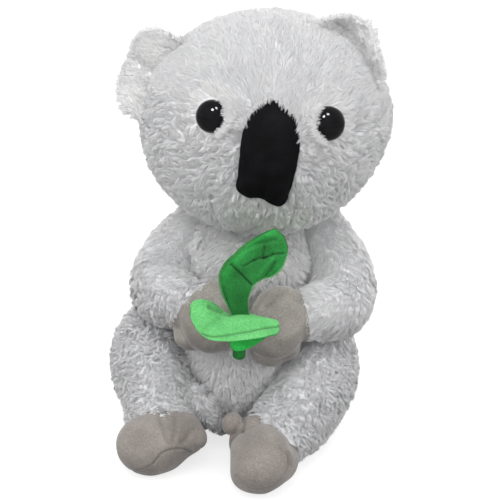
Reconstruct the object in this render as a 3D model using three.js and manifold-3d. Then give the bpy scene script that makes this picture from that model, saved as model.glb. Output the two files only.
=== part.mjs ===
// Plush koala, sitting upright and holding a stuffed eucalyptus sprig between its paws.
// Millimetres, +Z up, the koala faces -Y and its left side is +X.
// The origin is on the flat seat, on the axis that the torso is turned about.
import * as THREE from 'three';
import { mergeVertices } from 'three/addons/utils/BufferGeometryUtils.js';
import Module from 'manifold-3d';

const wasm = await Module();
wasm.setup();

// Fabric and fits
const furThickness = 2.6;
const suedeThickness = 1.5;
const fit = 0.3;
const overrun = 260;
const weld = 0.001;

// Torso, a body of revolution pressed flat where it sits
const torsoHeight = 166;
const seatRadius = 42;
const seatPress = 0.5;
const bellyRadius = 64;
const bellyHeight = 50;
const chestRadius = 54;
const chestHeight = 108;
const collarRadius = 39;
const collarHeight = 147;
const neckRadius = 26;

// White panel down the front of the torso
const panelHalfWidth = 37;
const panelTopHeight = 153;
const panelTipHeight = 33;
const panelAside = 3;
const panelTilt = 4;

// Bag of pellets in the seat
const pelletBagRadius = 40;
const pelletBagHeight = 20;

// Head, a squarish egg that looks a little towards the koala's left
const headHalfWidth = 84.5;
const headHalfDepth = 73;
const headHalfHeight = 75.5;
const headRise = 56;
const headForward = 12;
const headAside = 6.5;
const headYaw = 7;
const headRoll = -5.5;
const headSquareness = 2.02;
const jowlTaperShare = { left: 0.13, right: 0 };
const headTurn = 12;

// Nose, a stuffed velour shield on the front of the head
const noseHalfWidth = 20;
const noseHalfHeight = 35;
const noseHalfDepth = 22;
const noseProud = 15;
const noseSquareness = 2.5;
const noseLobe = 4;
const noseAzimuth = -0.6;
const noseElevation = 0;
const noseTilt = 10;

// Eyes, domes on shanks that a washer holds behind the fur
const eyeRadius = 10;
const eyeDomeHeight = 7;
const eyeRim = 0.8;
const eyeShankRadius = 2.2;
const eyeShankLength = 9;
const eyeAzimuth = { left: 26.8, right: 26.5 };
const eyeElevation = { left: 13.1, right: 19.2 };
const washerRadius = 7.5;
const washerThickness = 1.6;
const washerSeat = 1;

// White patches round the eyes, and the white muzzle under the nose
const patchHalfWidth = 18;
const patchHalfHeight = 21;
const muzzleHalfWidth = 31;
const muzzleHalfHeight = 25;
const muzzleAzimuth = -6;
const muzzleElevation = -40;

// Ears, each of two cupped layers sewn round their rim
const earHalfWidth = 30.5;
const earLength = 18;
const earRoot = 12;
const earLayer = 3.8;
const earCup = 15;
const earSquareness = 2.1;
const earRimShare = 0.15;
const earFold = 10;
const earAzimuth = { left: 84, right: 92 };
const earElevation = { left: 44, right: 29 };
const earTwist = { left: 12, right: 10 };
const earLean = { left: -19, right: 23 };

// Arms, which reach forward so that the paws meet
const shoulderDrop = 23;
const armOut = 63;
const armForward = 72;
const armDrop = 43;
const armRadius = 24;
const wristRadius = 17.3;
const armAside = 3;
const shoulderAside = 3.6;
const armLift = 6;
const pawHalfWidth = 20;
const pawHalfDepth = 18;
const pawHalfHeight = 26;
const pawTurn = 20;
const pawSquareness = 2.2;
const wristDroop = { left: 13, right: 30 };

// Legs, thick haunches that lie along the sides and end in suede feet
const legOut = { left: 56, right: 66 };
const hipOut = 44;
const legForward = 80;
const haunchHeight = 46;
const haunchHalfHeight = 41;
const haunchHalfWidth = 28;
const ankleHeight = 25;
const ankleRadius = 24;
const legSpread = 12;
const footHalfLength = 31;
const footHalfWidth = 21.5;
const footHalfHeight = 21;
const footPress = 0.5;
const footSquareness = 2.2;
const footSplay = { left: -6, right: 52 };
const footOut = { left: 26, right: 45 };
const footForward = { left: 101, right: 95 };
const soleHeight = 9;
const toeRadius = 8.5;

// Sprig of two stuffed leaves on a stem
const stemRadius = 4.2;
const stemLength = 36;
const stemProud = 16;
const sprigDrop = 8;
const leafLength = 62;
const leafHalfWidth = 12.5;
const leafStuffing = 3;
const leafCup = 0.12;
const lowerLeafLength = 60;
const lowerLeafHalfWidth = 15;

// How thick a sewn blade is at its rim, against its middle
const rimShare = 0.3;

// Counts of facets
const torsoSides = 24;
const torsoRings = 12;
const headSides = 24;
const headRings = 13;
const limbSides = 12;
const limbSteps = 5;
const capSteps = 3;
const smallSides = 12;
const bladeSteps = 8;
const bladeSpans = 4;
const hiddenShare = 0.6;
const evenSteps = Array.from({ length: bladeSteps + 1 }, (_, i) => i / bladeSteps);
const hidden = (count) => Math.round((count * hiddenShare) / 2) * 2;

const sideSign = { left: 1, right: -1 };
const seatCentre = new THREE.Vector3(0, 0, 0);
const up = new THREE.Vector3(0, 0, 1);

// Materials
const fabric = (color, roughness) => new THREE.MeshStandardMaterial({ color, roughness, metalness: 0 });
const greyFur = fabric(0xcfcfd2, 0.95);
const whiteFur = fabric(0xeceeec, 0.95);
const suede = fabric(0x9b918d, 0.9);
const velour = fabric(0x17181a, 0.85);
const glossBlack = fabric(0x0a0a0c, 0.12);
const lightGreen = fabric(0x5fc94a, 0.85);
const darkGreen = fabric(0x2a9a38, 0.85);
const stuffing = fabric(0xf4f4f2, 1);
const pelletCloth = fabric(0xe6e2d8, 0.9);
const whitePlastic = fabric(0xf0f0ee, 0.45);

// Solids and meshes
function bareIndexed(geometry) {
  const bare = geometry.clone();
  bare.deleteAttribute('normal');
  bare.deleteAttribute('uv');
  const merged = mergeVertices(bare, weld);
  const kept = [];
  for (let i = 0; i < merged.index.count; i += 3) {
    const [a, b, c] = [0, 1, 2].map((k) => merged.index.getX(i + k));
    if (a !== b && b !== c && c !== a) kept.push(a, b, c);
  }
  merged.setIndex(kept);
  return merged;
}

function solidOf(geometry) {
  const merged = bareIndexed(geometry);
  const vertProperties = new Float32Array(merged.attributes.position.array);
  const triVerts = new Uint32Array(merged.index.array);
  return new wasm.Manifold(new wasm.Mesh({ numProp: 3, vertProperties, triVerts }));
}

function geometryOf(solid) {
  const mesh = solid.getMesh();
  const geometry = new THREE.BufferGeometry();
  geometry.setAttribute('position', new THREE.BufferAttribute(new Float32Array(mesh.vertProperties), 3));
  geometry.setIndex([...mesh.triVerts]);
  return geometry;
}

const cut = (solid, ...tools) => tools.reduce((left, tool) => left.subtract(tool), solid);
const joined = (first, ...rest) => rest.reduce((sum, solid) => sum.add(solid), first);

// The same form with its surface moved out by a distance, or in where the distance is negative
function grown(geometry, distance) {
  const form = bareIndexed(geometry);
  form.computeVertexNormals();
  const place = new THREE.Vector3();
  const normal = new THREE.Vector3();
  const { position, normal: normals } = form.attributes;
  for (let i = 0; i < position.count; i += 1) {
    place.fromBufferAttribute(position, i);
    normal.fromBufferAttribute(normals, i);
    place.addScaledVector(normal, distance);
    position.setXYZ(i, place.x, place.y, place.z);
  }
  return form;
}

// All the space that a form passes through as it turns about an axis, in the given steps of degrees
function swept(geometry, pivot, axis, angles) {
  const copies = angles.map((angle) => {
    const turn = new THREE.Matrix4().makeRotationAxis(axis, THREE.MathUtils.degToRad(angle));
    const copy = geometry.clone();
    copy.translate(-pivot.x, -pivot.y, -pivot.z);
    copy.applyMatrix4(turn);
    copy.translate(pivot.x, pivot.y, pivot.z);
    return solidOf(copy);
  });
  return joined(...copies);
}

const anglesTo = (from, to, count) =>
  Array.from({ length: count + 1 }, (_, i) => from + ((to - from) * i) / count);

// A closed skin over a run of rings that all have the same number of points
function closedLoft(rings) {
  const sides = rings[0].length;
  const points = rings.flat();
  const last = (rings.length - 1) * sides;
  const index = [];
  for (let r = 0; r < rings.length - 1; r += 1) {
    for (let s = 0; s < sides; s += 1) {
      const a = r * sides + s;
      const b = r * sides + ((s + 1) % sides);
      index.push(a, b, a + sides, b, b + sides, a + sides);
    }
  }
  const middle = (ring) => ring.reduce((sum, p) => sum.add(p), new THREE.Vector3()).divideScalar(sides);
  points.push(middle(rings[0]), middle(rings[rings.length - 1]));
  for (let s = 0; s < sides; s += 1) {
    const next = (s + 1) % sides;
    index.push(next, s, points.length - 2);
    index.push(last + s, last + next, points.length - 1);
  }
  const geometry = new THREE.BufferGeometry().setFromPoints(points);
  geometry.setIndex(index);
  return facingOut(geometry);
}

function facingOut(geometry) {
  const { position } = geometry.attributes;
  const { index } = geometry;
  const corner = [0, 1, 2].map(() => new THREE.Vector3());
  let volume = 0;
  for (let i = 0; i < index.count; i += 3) {
    corner.forEach((p, k) => p.fromBufferAttribute(position, index.getX(i + k)));
    volume += corner[0].dot(corner[1].clone().cross(corner[2]));
  }
  if (volume < 0) geometry.setIndex([...index.array].reverse());
  return geometry;
}

// A stuffed limb: round or oval sections strung along a curve, with rounded ends
function limbForm(stations, sides = limbSides) {
  const path = new THREE.CatmullRomCurve3(stations.map((station) => station.at));
  const girths = stations.map(({ tall, wide }) => new THREE.Vector3(tall, wide, 0));
  const girth = new THREE.CatmullRomCurve3(girths);
  const ring = (t, shiftShare, sizeShare) => {
    const { x: tall, y: wide } = girth.getPoint(t);
    const along = path.getTangent(t);
    const across = new THREE.Vector3().crossVectors(along, up).normalize();
    const rise = new THREE.Vector3().crossVectors(across, along);
    const centre = path.getPoint(t).addScaledVector(along, shiftShare * wide);
    return Array.from({ length: sides }, (_, s) => {
      const angle = (s / sides) * Math.PI * 2;
      return centre
        .clone()
        .addScaledVector(across, Math.cos(angle) * wide * sizeShare)
        .addScaledVector(rise, Math.sin(angle) * tall * sizeShare);
    });
  };
  const rings = [];
  for (let k = 1; k < capSteps; k += 1) {
    const angle = ((k / capSteps) * Math.PI) / 2;
    rings.push(ring(0, -Math.cos(angle), Math.sin(angle)));
  }
  for (let i = 0; i <= limbSteps; i += 1) rings.push(ring(i / limbSteps, 0, 1));
  for (let k = capSteps - 1; k > 0; k -= 1) {
    const angle = ((k / capSteps) * Math.PI) / 2;
    rings.push(ring(1, Math.cos(angle), Math.sin(angle)));
  }
  return closedLoft(rings);
}

// A squarish egg of given half sizes, about its own centre, with its poles on Z
function eggForm(halfWidth, halfDepth, halfHeight, squareness, sides, rings) {
  const form = new THREE.SphereGeometry(1, sides, rings);
  form.rotateX(Math.PI / 2);
  const { position } = form.attributes;
  const unit = new THREE.Vector3();
  for (let i = 0; i < position.count; i += 1) {
    unit.fromBufferAttribute(position, i);
    unit.multiplyScalar(squareShare(unit, squareness));
    position.setXYZ(i, unit.x * halfWidth, unit.y * halfDepth, unit.z * halfHeight);
  }
  return form;
}

function squareShare(unit, squareness) {
  const sum = ['x', 'y', 'z'].reduce((total, k) => total + Math.abs(unit[k]) ** squareness, 0);
  return sum ** (-1 / squareness);
}

// A stuffed blade, one of its two layers: crescent sections along a spine, cupped towards their face
function bladeForm({ spine, face, halfWidthAt, cup, inner, outer, steps = evenSteps }) {
  const rings = [];
  for (const t of steps) {
    const along = spine.getTangent(t);
    const across = new THREE.Vector3().crossVectors(along, face).normalize();
    const rise = new THREE.Vector3().crossVectors(across, along);
    const halfWidth = halfWidthAt(t);
    const place = (share, offset) =>
      spine
        .getPoint(t)
        .addScaledVector(across, share * halfWidth)
        .addScaledVector(rise, cup * share * share * halfWidth + offset);
    const shares = Array.from({ length: bladeSpans + 1 }, (_, k) => -Math.cos((k / bladeSpans) * Math.PI));
    const swell = (share) => inner + (outer - inner) * Math.max(Math.sqrt(1 - share * share), rimShare);
    const faceRow = shares.map((share) => place(share, swell(share)));
    const backRow = shares.map((share) => place(share, inner)).reverse();
    rings.push([...faceRow, ...backRow]);
  }
  return closedLoft(rings);
}

const box = (width, depth, height, centre) =>
  solidOf(new THREE.BoxGeometry(width, depth, height).translate(centre.x, centre.y, centre.z));
const below = (height) =>
  box(overrun * 2, overrun * 2, overrun, new THREE.Vector3(0, 0, height - overrun / 2));

// Everything on one side of a plane, out to the overrun
function beyond(point, normal) {
  const block = new THREE.BoxGeometry(overrun, overrun, overrun).translate(0, 0, overrun / 2);
  const turn = new THREE.Quaternion().setFromUnitVectors(up, normal.clone().normalize());
  block.applyQuaternion(turn);
  block.translate(point.x, point.y, point.z);
  return solidOf(block);
}

function upright(radius, bottom, top) {
  const post = new THREE.CylinderGeometry(radius, radius, top - bottom, torsoSides);
  post.rotateX(Math.PI / 2);
  post.translate(0, 0, (top + bottom) / 2);
  return solidOf(post);
}

// Torso
const torsoProfile = new THREE.SplineCurve([
  new THREE.Vector2(0, -seatPress),
  new THREE.Vector2(seatRadius / 2, -seatPress),
  new THREE.Vector2(seatRadius, seatPress / 2),
  new THREE.Vector2((seatRadius + bellyRadius) / 2 + seatPress, bellyHeight / 4),
  new THREE.Vector2(bellyRadius, bellyHeight),
  new THREE.Vector2(chestRadius, chestHeight),
  new THREE.Vector2(collarRadius, collarHeight),
  new THREE.Vector2(collarRadius / 2, (collarHeight + torsoHeight * 3) / 4),
  new THREE.Vector2(0, torsoHeight),
]);
function torsoFormOf(sides, rings) {
  const points = torsoProfile.getPoints(rings).map((p) => new THREE.Vector2(Math.max(p.x, 0), p.y));
  return new THREE.LatheGeometry(points, sides).rotateX(Math.PI / 2);
}
const torsoForm = torsoFormOf(torsoSides, torsoRings);
const torsoCore = torsoFormOf(hidden(torsoSides), hidden(torsoRings));
const torsoOuter = cut(solidOf(torsoForm), below(0));
const torsoInner = cut(solidOf(grown(torsoCore, -furThickness)), below(furThickness));
const neckHole = upright(neckRadius, bellyHeight, torsoHeight + furThickness * 2);
const torsoShell = cut(torsoOuter, torsoInner, neckHole);

// White panel: a shield that runs down the front to a blunt tip between the legs
function panelRegion(inset) {
  const edgeShares = [[0.2, 0.0], [0.38, 0.07], [0.66, 0.21], [0.93, 0.5], [1, 0.8]];
  const height = panelTopHeight - panelTipHeight;
  const right = edgeShares.map(([outShare, riseShare]) =>
    new THREE.Vector2(outShare * panelHalfWidth - inset, panelTipHeight + riseShare * height));
  right[0].y += inset;
  const corner = new THREE.Vector2(panelHalfWidth - inset, panelTopHeight - inset);
  const outline = [...right, corner];
  const mirrored = outline.map((p) => new THREE.Vector2(-p.x, p.y)).reverse();
  const shape = new THREE.Shape([...outline, ...mirrored]);
  const block = new THREE.ExtrudeGeometry(shape, { depth: overrun, bevelEnabled: false });
  block.rotateX(Math.PI / 2);
  block.translate(0, -collarRadius / 2, -panelTopHeight);
  block.rotateY(THREE.MathUtils.degToRad(panelTilt));
  block.translate(panelAside, 0, panelTopHeight);
  return solidOf(block);
}
const torsoSkin = cut(torsoShell, panelRegion(0));
const bellyPanel = torsoShell.intersect(panelRegion(fit));

const pelletBase = furThickness + fit;
const pelletForm = eggForm(pelletBagRadius, pelletBagRadius, pelletBagHeight, 2, smallSides, smallSides / 2);
pelletForm.translate(0, 0, pelletBase);
const pelletBag = cut(solidOf(pelletForm), below(pelletBase));
const neckFill = upright(neckRadius - fit, chestHeight, torsoHeight + furThickness);
const torsoFillForm = grown(torsoCore, -furThickness - fit);
const torsoFill = cut(
  joined(cut(solidOf(torsoFillForm), below(pelletBase)), neckFill),
  solidOf(grown(pelletForm, fit)),
);

// Head
const headCentre = new THREE.Vector3(headAside, -headForward, torsoHeight + headRise);
const headPlacement = new THREE.Matrix4()
  .makeRotationZ(THREE.MathUtils.degToRad(headYaw))
  .multiply(new THREE.Matrix4().makeRotationY(THREE.MathUtils.degToRad(headRoll)))
  .setPosition(headCentre);
function headFormOf(sides, rings) {
  const form = eggForm(1, 1, 1, headSquareness, sides, rings);
  const { position } = form.attributes;
  const unit = new THREE.Vector3();
  for (let i = 0; i < position.count; i += 1) {
    jowled(unit.fromBufferAttribute(position, i));
    position.setXYZ(i, unit.x, unit.y, unit.z);
  }
  return form.applyMatrix4(headPlacement);
}

// From the unit egg to the head's size, drawn in below the cheeks
function jowled(unit) {
  unit.x *= 1 - jowlTaperShare[unit.x > 0 ? 'left' : 'right'] * Math.max(-unit.z, 0);
  return unit.multiply(new THREE.Vector3(headHalfWidth, headHalfDepth, headHalfHeight));
}
const headForm = headFormOf(headSides, headRings);
const headCore = headFormOf(hidden(headSides), hidden(headRings));

// A point on the head by its azimuth from the face and its height above the horizon, with axes to stand on it
function headSpot(azimuth, elevation) {
  const surface = (az, el) => {
    const a = THREE.MathUtils.degToRad(az);
    const e = THREE.MathUtils.degToRad(el);
    const unit = new THREE.Vector3(Math.sin(a) * Math.cos(e), -Math.cos(a) * Math.cos(e), Math.sin(e));
    unit.multiplyScalar(squareShare(unit, headSquareness));
    return jowled(unit).applyMatrix4(headPlacement);
  };
  const at = surface(azimuth, elevation);
  const sideways = surface(azimuth + 1, elevation).sub(surface(azimuth - 1, elevation)).normalize();
  const rising = surface(azimuth, elevation + 1).sub(surface(azimuth, elevation - 1)).normalize();
  const out = new THREE.Vector3().crossVectors(sideways, rising).normalize();
  return { at, sideways, rising: new THREE.Vector3().crossVectors(out, sideways), out };
}

function standOn(geometry, spot, lift) {
  const placement = new THREE.Matrix4().makeBasis(spot.sideways, spot.rising, spot.out);
  placement.setPosition(spot.at.clone().addScaledVector(spot.out, lift));
  return geometry.applyMatrix4(placement);
}

const torsoClear = solidOf(grown(torsoForm, fit));
const headOuter = cut(solidOf(headForm), torsoClear);
const headInner = cut(solidOf(grown(headCore, -furThickness)), solidOf(grown(torsoForm, fit + furThickness)));
let headShell = cut(headOuter, headInner, neckHole);

const eyeSpots = {
  left: headSpot(eyeAzimuth.left, eyeElevation.left),
  right: headSpot(-eyeAzimuth.right, eyeElevation.right),
};
const muzzleSpot = headSpot(muzzleAzimuth, muzzleElevation);

function ovalRegion(spot, halfWidth, halfHeight, depth) {
  const shape = new THREE.Shape().absellipse(0, 0, halfWidth, halfHeight, 0, Math.PI * 2);
  const curveSegments = smallSides / 2;
  const block = new THREE.ExtrudeGeometry(shape, { depth, curveSegments, bevelEnabled: false });
  block.translate(0, 0, -depth / 2);
  return solidOf(standOn(block, spot, 0));
}

// The eye stands on its spot with its dome out along the lathe's axis
function eyeForm(spot, extra) {
  const domeSteps = 5;
  const dome = Array.from({ length: domeSteps + 1 }, (_, k) => {
    const angle = ((k / domeSteps) * Math.PI) / 2;
    const radius = k === domeSteps ? 0 : Math.cos(angle) * (eyeRadius + extra);
    return new THREE.Vector2(radius, eyeRim + Math.sin(angle) * (eyeDomeHeight - eyeRim + extra));
  });
  const profile = [
    new THREE.Vector2(0, -eyeShankLength - extra),
    new THREE.Vector2(eyeShankRadius + extra, -eyeShankLength - extra),
    new THREE.Vector2(eyeShankRadius + extra, -extra),
    new THREE.Vector2(eyeRadius - eyeRim + extra, -extra),
    ...dome,
  ];
  const turned = new THREE.LatheGeometry(profile, smallSides).rotateX(Math.PI / 2);
  return standOn(turned, spot, fit * 2);
}

// The washer is pushed onto the shank from inside, up to the back of the fur
function washerForm(spot, extra) {
  const top = -furThickness - washerSeat + extra;
  const bottom = top - washerThickness - extra * 2;
  const bore = eyeShankRadius + fit - extra;
  const profile = [
    new THREE.Vector2(bore, bottom),
    new THREE.Vector2(washerRadius + extra, bottom),
    new THREE.Vector2(washerRadius + extra, top),
    new THREE.Vector2(bore, top),
    new THREE.Vector2(bore, bottom),
  ];
  const turned = new THREE.LatheGeometry(profile, smallSides).rotateX(Math.PI / 2);
  return standOn(turned, spot, 0);
}

const eyes = {};
const washers = {};
const patches = {};
let headFill = cut(
  solidOf(grown(headCore, -furThickness - fit)),
  solidOf(grown(torsoForm, furThickness + fit * 2)),
);
headFill = cut(headFill, upright(neckRadius, bellyHeight, torsoHeight + furThickness + fit));
for (const side of ['left', 'right']) {
  const spot = eyeSpots[side];
  const eyeRoom = solidOf(eyeForm(spot, fit));
  eyes[side] = solidOf(eyeForm(spot, 0));
  washers[side] = solidOf(washerForm(spot, 0));
  const region = ovalRegion(spot, patchHalfWidth - fit, patchHalfHeight - fit, headHalfDepth);
  const washerRoom = solidOf(washerForm(spot, fit));
  patches[side] = cut(headShell.intersect(region), eyeRoom, washerRoom);
  headFill = cut(headFill, eyeRoom, washerRoom);
}
const muzzleRegion = ovalRegion(muzzleSpot, muzzleHalfWidth - fit, muzzleHalfHeight - fit, headHalfDepth);
const muzzlePanel = headShell.intersect(muzzleRegion);
headShell = cut(
  headShell,
  ovalRegion(eyeSpots.left, patchHalfWidth, patchHalfHeight, headHalfDepth),
  ovalRegion(eyeSpots.right, patchHalfWidth, patchHalfHeight, headHalfDepth),
  ovalRegion(muzzleSpot, muzzleHalfWidth, muzzleHalfHeight, headHalfDepth),
);

// Nose: narrow at the top, two soft lobes at the bottom
const noseSpot = headSpot(noseAzimuth, noseElevation);
function noseForm() {
  const form = eggForm(1, 1, 1, noseSquareness, smallSides + 4, smallSides);
  const { position } = form.attributes;
  const topNarrowingShare = 0.3;
  const footingShare = 0.16;
  const lobeCentreShare = 0.5;
  for (let i = 0; i < position.count; i += 1) {
    const [x, y, z] = [position.getX(i), position.getY(i), position.getZ(i)];
    const narrowed = x * (1 - topNarrowingShare * Math.max(z, 0) ** 2) * (1 + footingShare * Math.max(-z, 0));
    const notch = Math.max(1 - (x / lobeCentreShare) ** 2, 0) * Math.max(-z, 0) ** 4;
    position.setXYZ(i, narrowed * noseHalfWidth, y * noseHalfDepth, z * noseHalfHeight + notch * noseLobe);
  }
  form.rotateY(THREE.MathUtils.degToRad(headRoll + noseTilt));
  form.rotateZ(THREE.MathUtils.degToRad(headYaw));
  const sunk = noseSpot.at.clone().addScaledVector(noseSpot.out, noseProud - noseHalfDepth);
  return form.translate(sunk.x, sunk.y, sunk.z);
}
const nose = cut(solidOf(noseForm()), solidOf(grown(headForm, fit)));

// Ears
const earStepShares = [0, 0.5, 0.65, 0.78, 0.88, 0.96, 1];
const ears = {};
const earPivots = {};
for (const side of ['left', 'right']) {
  const sign = sideSign[side];
  const spot = headSpot(sign * earAzimuth[side], earElevation[side]);
  const twist = new THREE.Quaternion().setFromAxisAngle(
    spot.out,
    THREE.MathUtils.degToRad(-sign * earTwist[side]),
  );
  const width = spot.rising.clone().applyQuaternion(twist);
  const face = new THREE.Vector3().crossVectors(width, spot.out).multiplyScalar(-sign).normalize();
  const lean = new THREE.Vector3()
    .addScaledVector(spot.out, Math.cos(THREE.MathUtils.degToRad(earLean[side])))
    .addScaledVector(face, -Math.sin(THREE.MathUtils.degToRad(earLean[side])));
  const root = spot.at.clone().addScaledVector(spot.out, -earRoot);
  const tip = spot.at.clone().addScaledVector(lean, earLength);
  const spine = new THREE.CatmullRomCurve3([root, spot.at.clone(), tip]);
  const halfWidthAt = (t) => {
    const share = Math.max(t * 2 - 1, 0);
    return earHalfWidth * Math.max((1 - share ** earSquareness) ** (1 / earSquareness), earRimShare);
  };
  const layer = (inner, outer) =>
    bladeForm({ spine, face, halfWidthAt, cup: earCup / earHalfWidth, inner, outer, steps: earStepShares });
  const headRoom = swept(grown(headForm, fit), spot.at, width, anglesTo(-earFold, earFold, 2));
  const front = layer(fit / 2, earLayer);
  ears[side] = {
    front: cut(solidOf(front), headRoom),
    back: cut(solidOf(layer(-fit / 2, -earLayer)), headRoom, solidOf(grown(front, fit))),
  };
  earPivots[side] = spot.at;
}

// Legs
const legPathShares = [
  { out: 0.94, forward: -0.02, rise: 1, tall: 0.87, wide: 1.05 },
  { out: 0.94, forward: 0.34, rise: 1, tall: 0.97, wide: 1.09 },
  { out: 0.81, forward: 0.72, rise: 0.76, tall: 0.86, wide: 0.9 },
];
const toeShares = {
  left: { inward: 1.02, back: 0.3, rise: 0.75 },
  right: { inward: 0.6, back: 0.8, rise: 0.15 },
};
const heelShare = 0.55;
const ankleShare = 0.86;
const hipPivot = (sign) => new THREE.Vector3(sign * hipOut, 0, haunchHeight);

function leg(side) {
  const sign = sideSign[side];
  const legPlace = ({ out, forward, rise }) =>
    new THREE.Vector3(sign * legOut[side] * out, -legForward * forward, haunchHeight * rise);
  const stations = legPathShares.map((share) => ({
    at: legPlace(share),
    tall: haunchHalfHeight * share.tall,
    wide: haunchHalfWidth * share.wide,
  }));
  const footAt = new THREE.Vector3(sign * footOut[side], -footForward[side], footHalfHeight - footPress);
  const ankle = new THREE.Vector3(
    THREE.MathUtils.lerp(sign * legOut[side], footAt.x, ankleShare),
    -legForward,
    ankleHeight,
  );
  stations.push({ at: ankle, tall: ankleRadius, wide: ankleRadius });
  const haunchForm = limbForm(stations);
  const haunchCore = limbForm(stations, hidden(limbSides));
  const splay = new THREE.Matrix4()
    .makeRotationZ(THREE.MathUtils.degToRad(sign * footSplay[side]))
    .setPosition(footAt);
  const footFormOf = (sides) =>
    eggForm(footHalfWidth, footHalfLength, footHalfHeight, footSquareness, sides, sides / 2 + 2)
      .applyMatrix4(splay);
  const footForm = footFormOf(smallSides);
  const footCore = footFormOf(hidden(smallSides));
  const toeShare = toeShares[side];
  const toeForm = eggForm(toeRadius, toeRadius, toeRadius, 2, hidden(smallSides), hidden(smallSides));
  toeForm.translate(
    -sign * toeShare.inward * footHalfWidth,
    toeShare.back * footHalfLength,
    toeShare.rise * footHalfHeight,
  );
  toeForm.applyMatrix4(splay);

  const torsoRoom = swept(grown(torsoForm, fit), hipPivot(sign), up, anglesTo(0, -sign * legSpread, 2));
  const heelWay = new THREE.Vector3(0, 1, 0).transformDirection(splay);
  const heelCut = beyond(footAt.clone().addScaledVector(heelWay, footHalfLength * heelShare), heelWay);
  const footSpace = joined(solidOf(footForm), solidOf(toeForm));
  const footRoom = joined(solidOf(grown(footForm, fit)), solidOf(grown(toeForm, fit)));
  const haunchOuter = cut(solidOf(haunchForm), torsoRoom, below(0));
  const haunchInner = cut(solidOf(grown(haunchCore, -furThickness)), below(furThickness));
  const footInner = cut(solidOf(grown(footCore, -suedeThickness)), below(suedeThickness));
  const foot = cut(footSpace, footInner, heelCut, torsoRoom, below(0));
  const footFill = solidOf(grown(footCore, -suedeThickness - fit));
  const footWallRoom = cut(footRoom, footFill, heelCut);
  const haunchFill = cut(solidOf(grown(haunchCore, -furThickness - fit)), footWallRoom);
  return {
    skin: cut(haunchOuter, haunchInner, footRoom),
    upper: cut(foot, below(soleHeight + fit / 2)),
    sole: foot.intersect(below(soleHeight - fit / 2)),
    fill: cut(joined(haunchFill, footFill), torsoRoom, below(furThickness + fit)),
    haunchForm,
  };
}
const legs = { left: leg('left'), right: leg('right') };

// Arms
const shoulderHeight = torsoHeight - shoulderDrop;
const armPathShares = [
  { out: 0.6, forward: -0.1, drop: -0.06, girth: 0.8 },
  { out: 0.91, forward: 0.13, drop: 0.58, girth: 1.01 },
  { out: 0.94, forward: 0.54, drop: 0.85, girth: 0.98 },
  { out: 0.6, forward: 0.88, drop: 0.83, girth: wristRadius / armRadius },
];
const pawShares = { out: 0.36, forward: 1, drop: 0.9 };
const handForwardShare = 0.25;
const wristShares = { out: 0.6, forward: 0.86, drop: 0.88 };
const armPlace = (sign, { out, forward: ahead, drop }) =>
  new THREE.Vector3(
    sign * out * armOut + armAside + shoulderAside * Math.max(1 - ahead, 0),
    -ahead * armForward,
    shoulderHeight - drop * armDrop,
  );
const shoulderPivot = new THREE.Vector3(armAside, 0, shoulderHeight);
const liftAxis = new THREE.Vector3(-1, 0, 0);
const liftAngles = anglesTo(0, -armLift, 1);
const torsoInLift = swept(grown(torsoForm, fit), shoulderPivot, liftAxis, liftAngles);
const headTurns = anglesTo(-headTurn, headTurn, 2);
const headInTurn = geometryOf(swept(grown(headForm, fit), seatCentre, up, headTurns));
const headInLift = swept(headInTurn, shoulderPivot, liftAxis, liftAngles);

function arm(side) {
  const sign = sideSign[side];
  const stations = armPathShares.map((share) => ({
    at: armPlace(sign, share),
    tall: armRadius * share.girth,
    wide: armRadius * share.girth,
  }));
  const sleeveForm = limbForm(stations);
  const sleeveCore = limbForm(stations, hidden(limbSides));
  const pawFormOf = (sides) => {
    const form = eggForm(pawHalfWidth, pawHalfDepth, pawHalfHeight, pawSquareness, sides, sides / 2 + 2);
    form.rotateY(THREE.MathUtils.degToRad(sign * pawTurn));
    const { x, y, z } = armPlace(sign, pawShares);
    return form.translate(x, y, z);
  };
  const pawForm = pawFormOf(smallSides);
  const pawCore = pawFormOf(hidden(smallSides));
  const wrist = armPlace(sign, wristShares);
  const droop = THREE.MathUtils.degToRad(wristDroop[side]);
  const hand = new THREE.Vector3(-sign * Math.cos(droop), -handForwardShare, -Math.sin(droop)).normalize();
  const handRoom = (shift) => beyond(wrist.clone().addScaledVector(hand, shift), hand);
  const armRoom = (shift) => beyond(wrist.clone().addScaledVector(hand, shift), hand.clone().negate());
  const legAngles = anglesTo(0, sign * legSpread, legSpread);
  const legRoom = swept(grown(legs[side].haunchForm, fit), hipPivot(sign), up, legAngles);
  const clear = (solid) => cut(solid, torsoInLift, headInLift, legRoom);
  const sleeveOuter = clear(solidOf(sleeveForm));
  const pawOuter = clear(solidOf(pawForm));
  const sleeve = cut(
    joined(sleeveOuter, pawOuter),
    solidOf(grown(sleeveCore, -furThickness)),
    solidOf(grown(pawCore, -furThickness)),
    handRoom(-fit / 2),
  );
  const paw = cut(
    joined(pawOuter, sleeveOuter),
    solidOf(grown(pawCore, -suedeThickness)),
    solidOf(grown(sleeveCore, -suedeThickness)),
    armRoom(fit / 2),
  );
  const fillOuter = joined(
    solidOf(grown(sleeveCore, -furThickness - fit)),
    solidOf(grown(pawCore, -furThickness - fit)),
    cut(solidOf(grown(pawCore, -suedeThickness - fit)), armRoom(fit)),
  );
  return { sleeve, paw, fill: clear(fillOuter), pawForm, sleeveForm };
}
const arms = { left: arm('left'), right: arm('right') };

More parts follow.
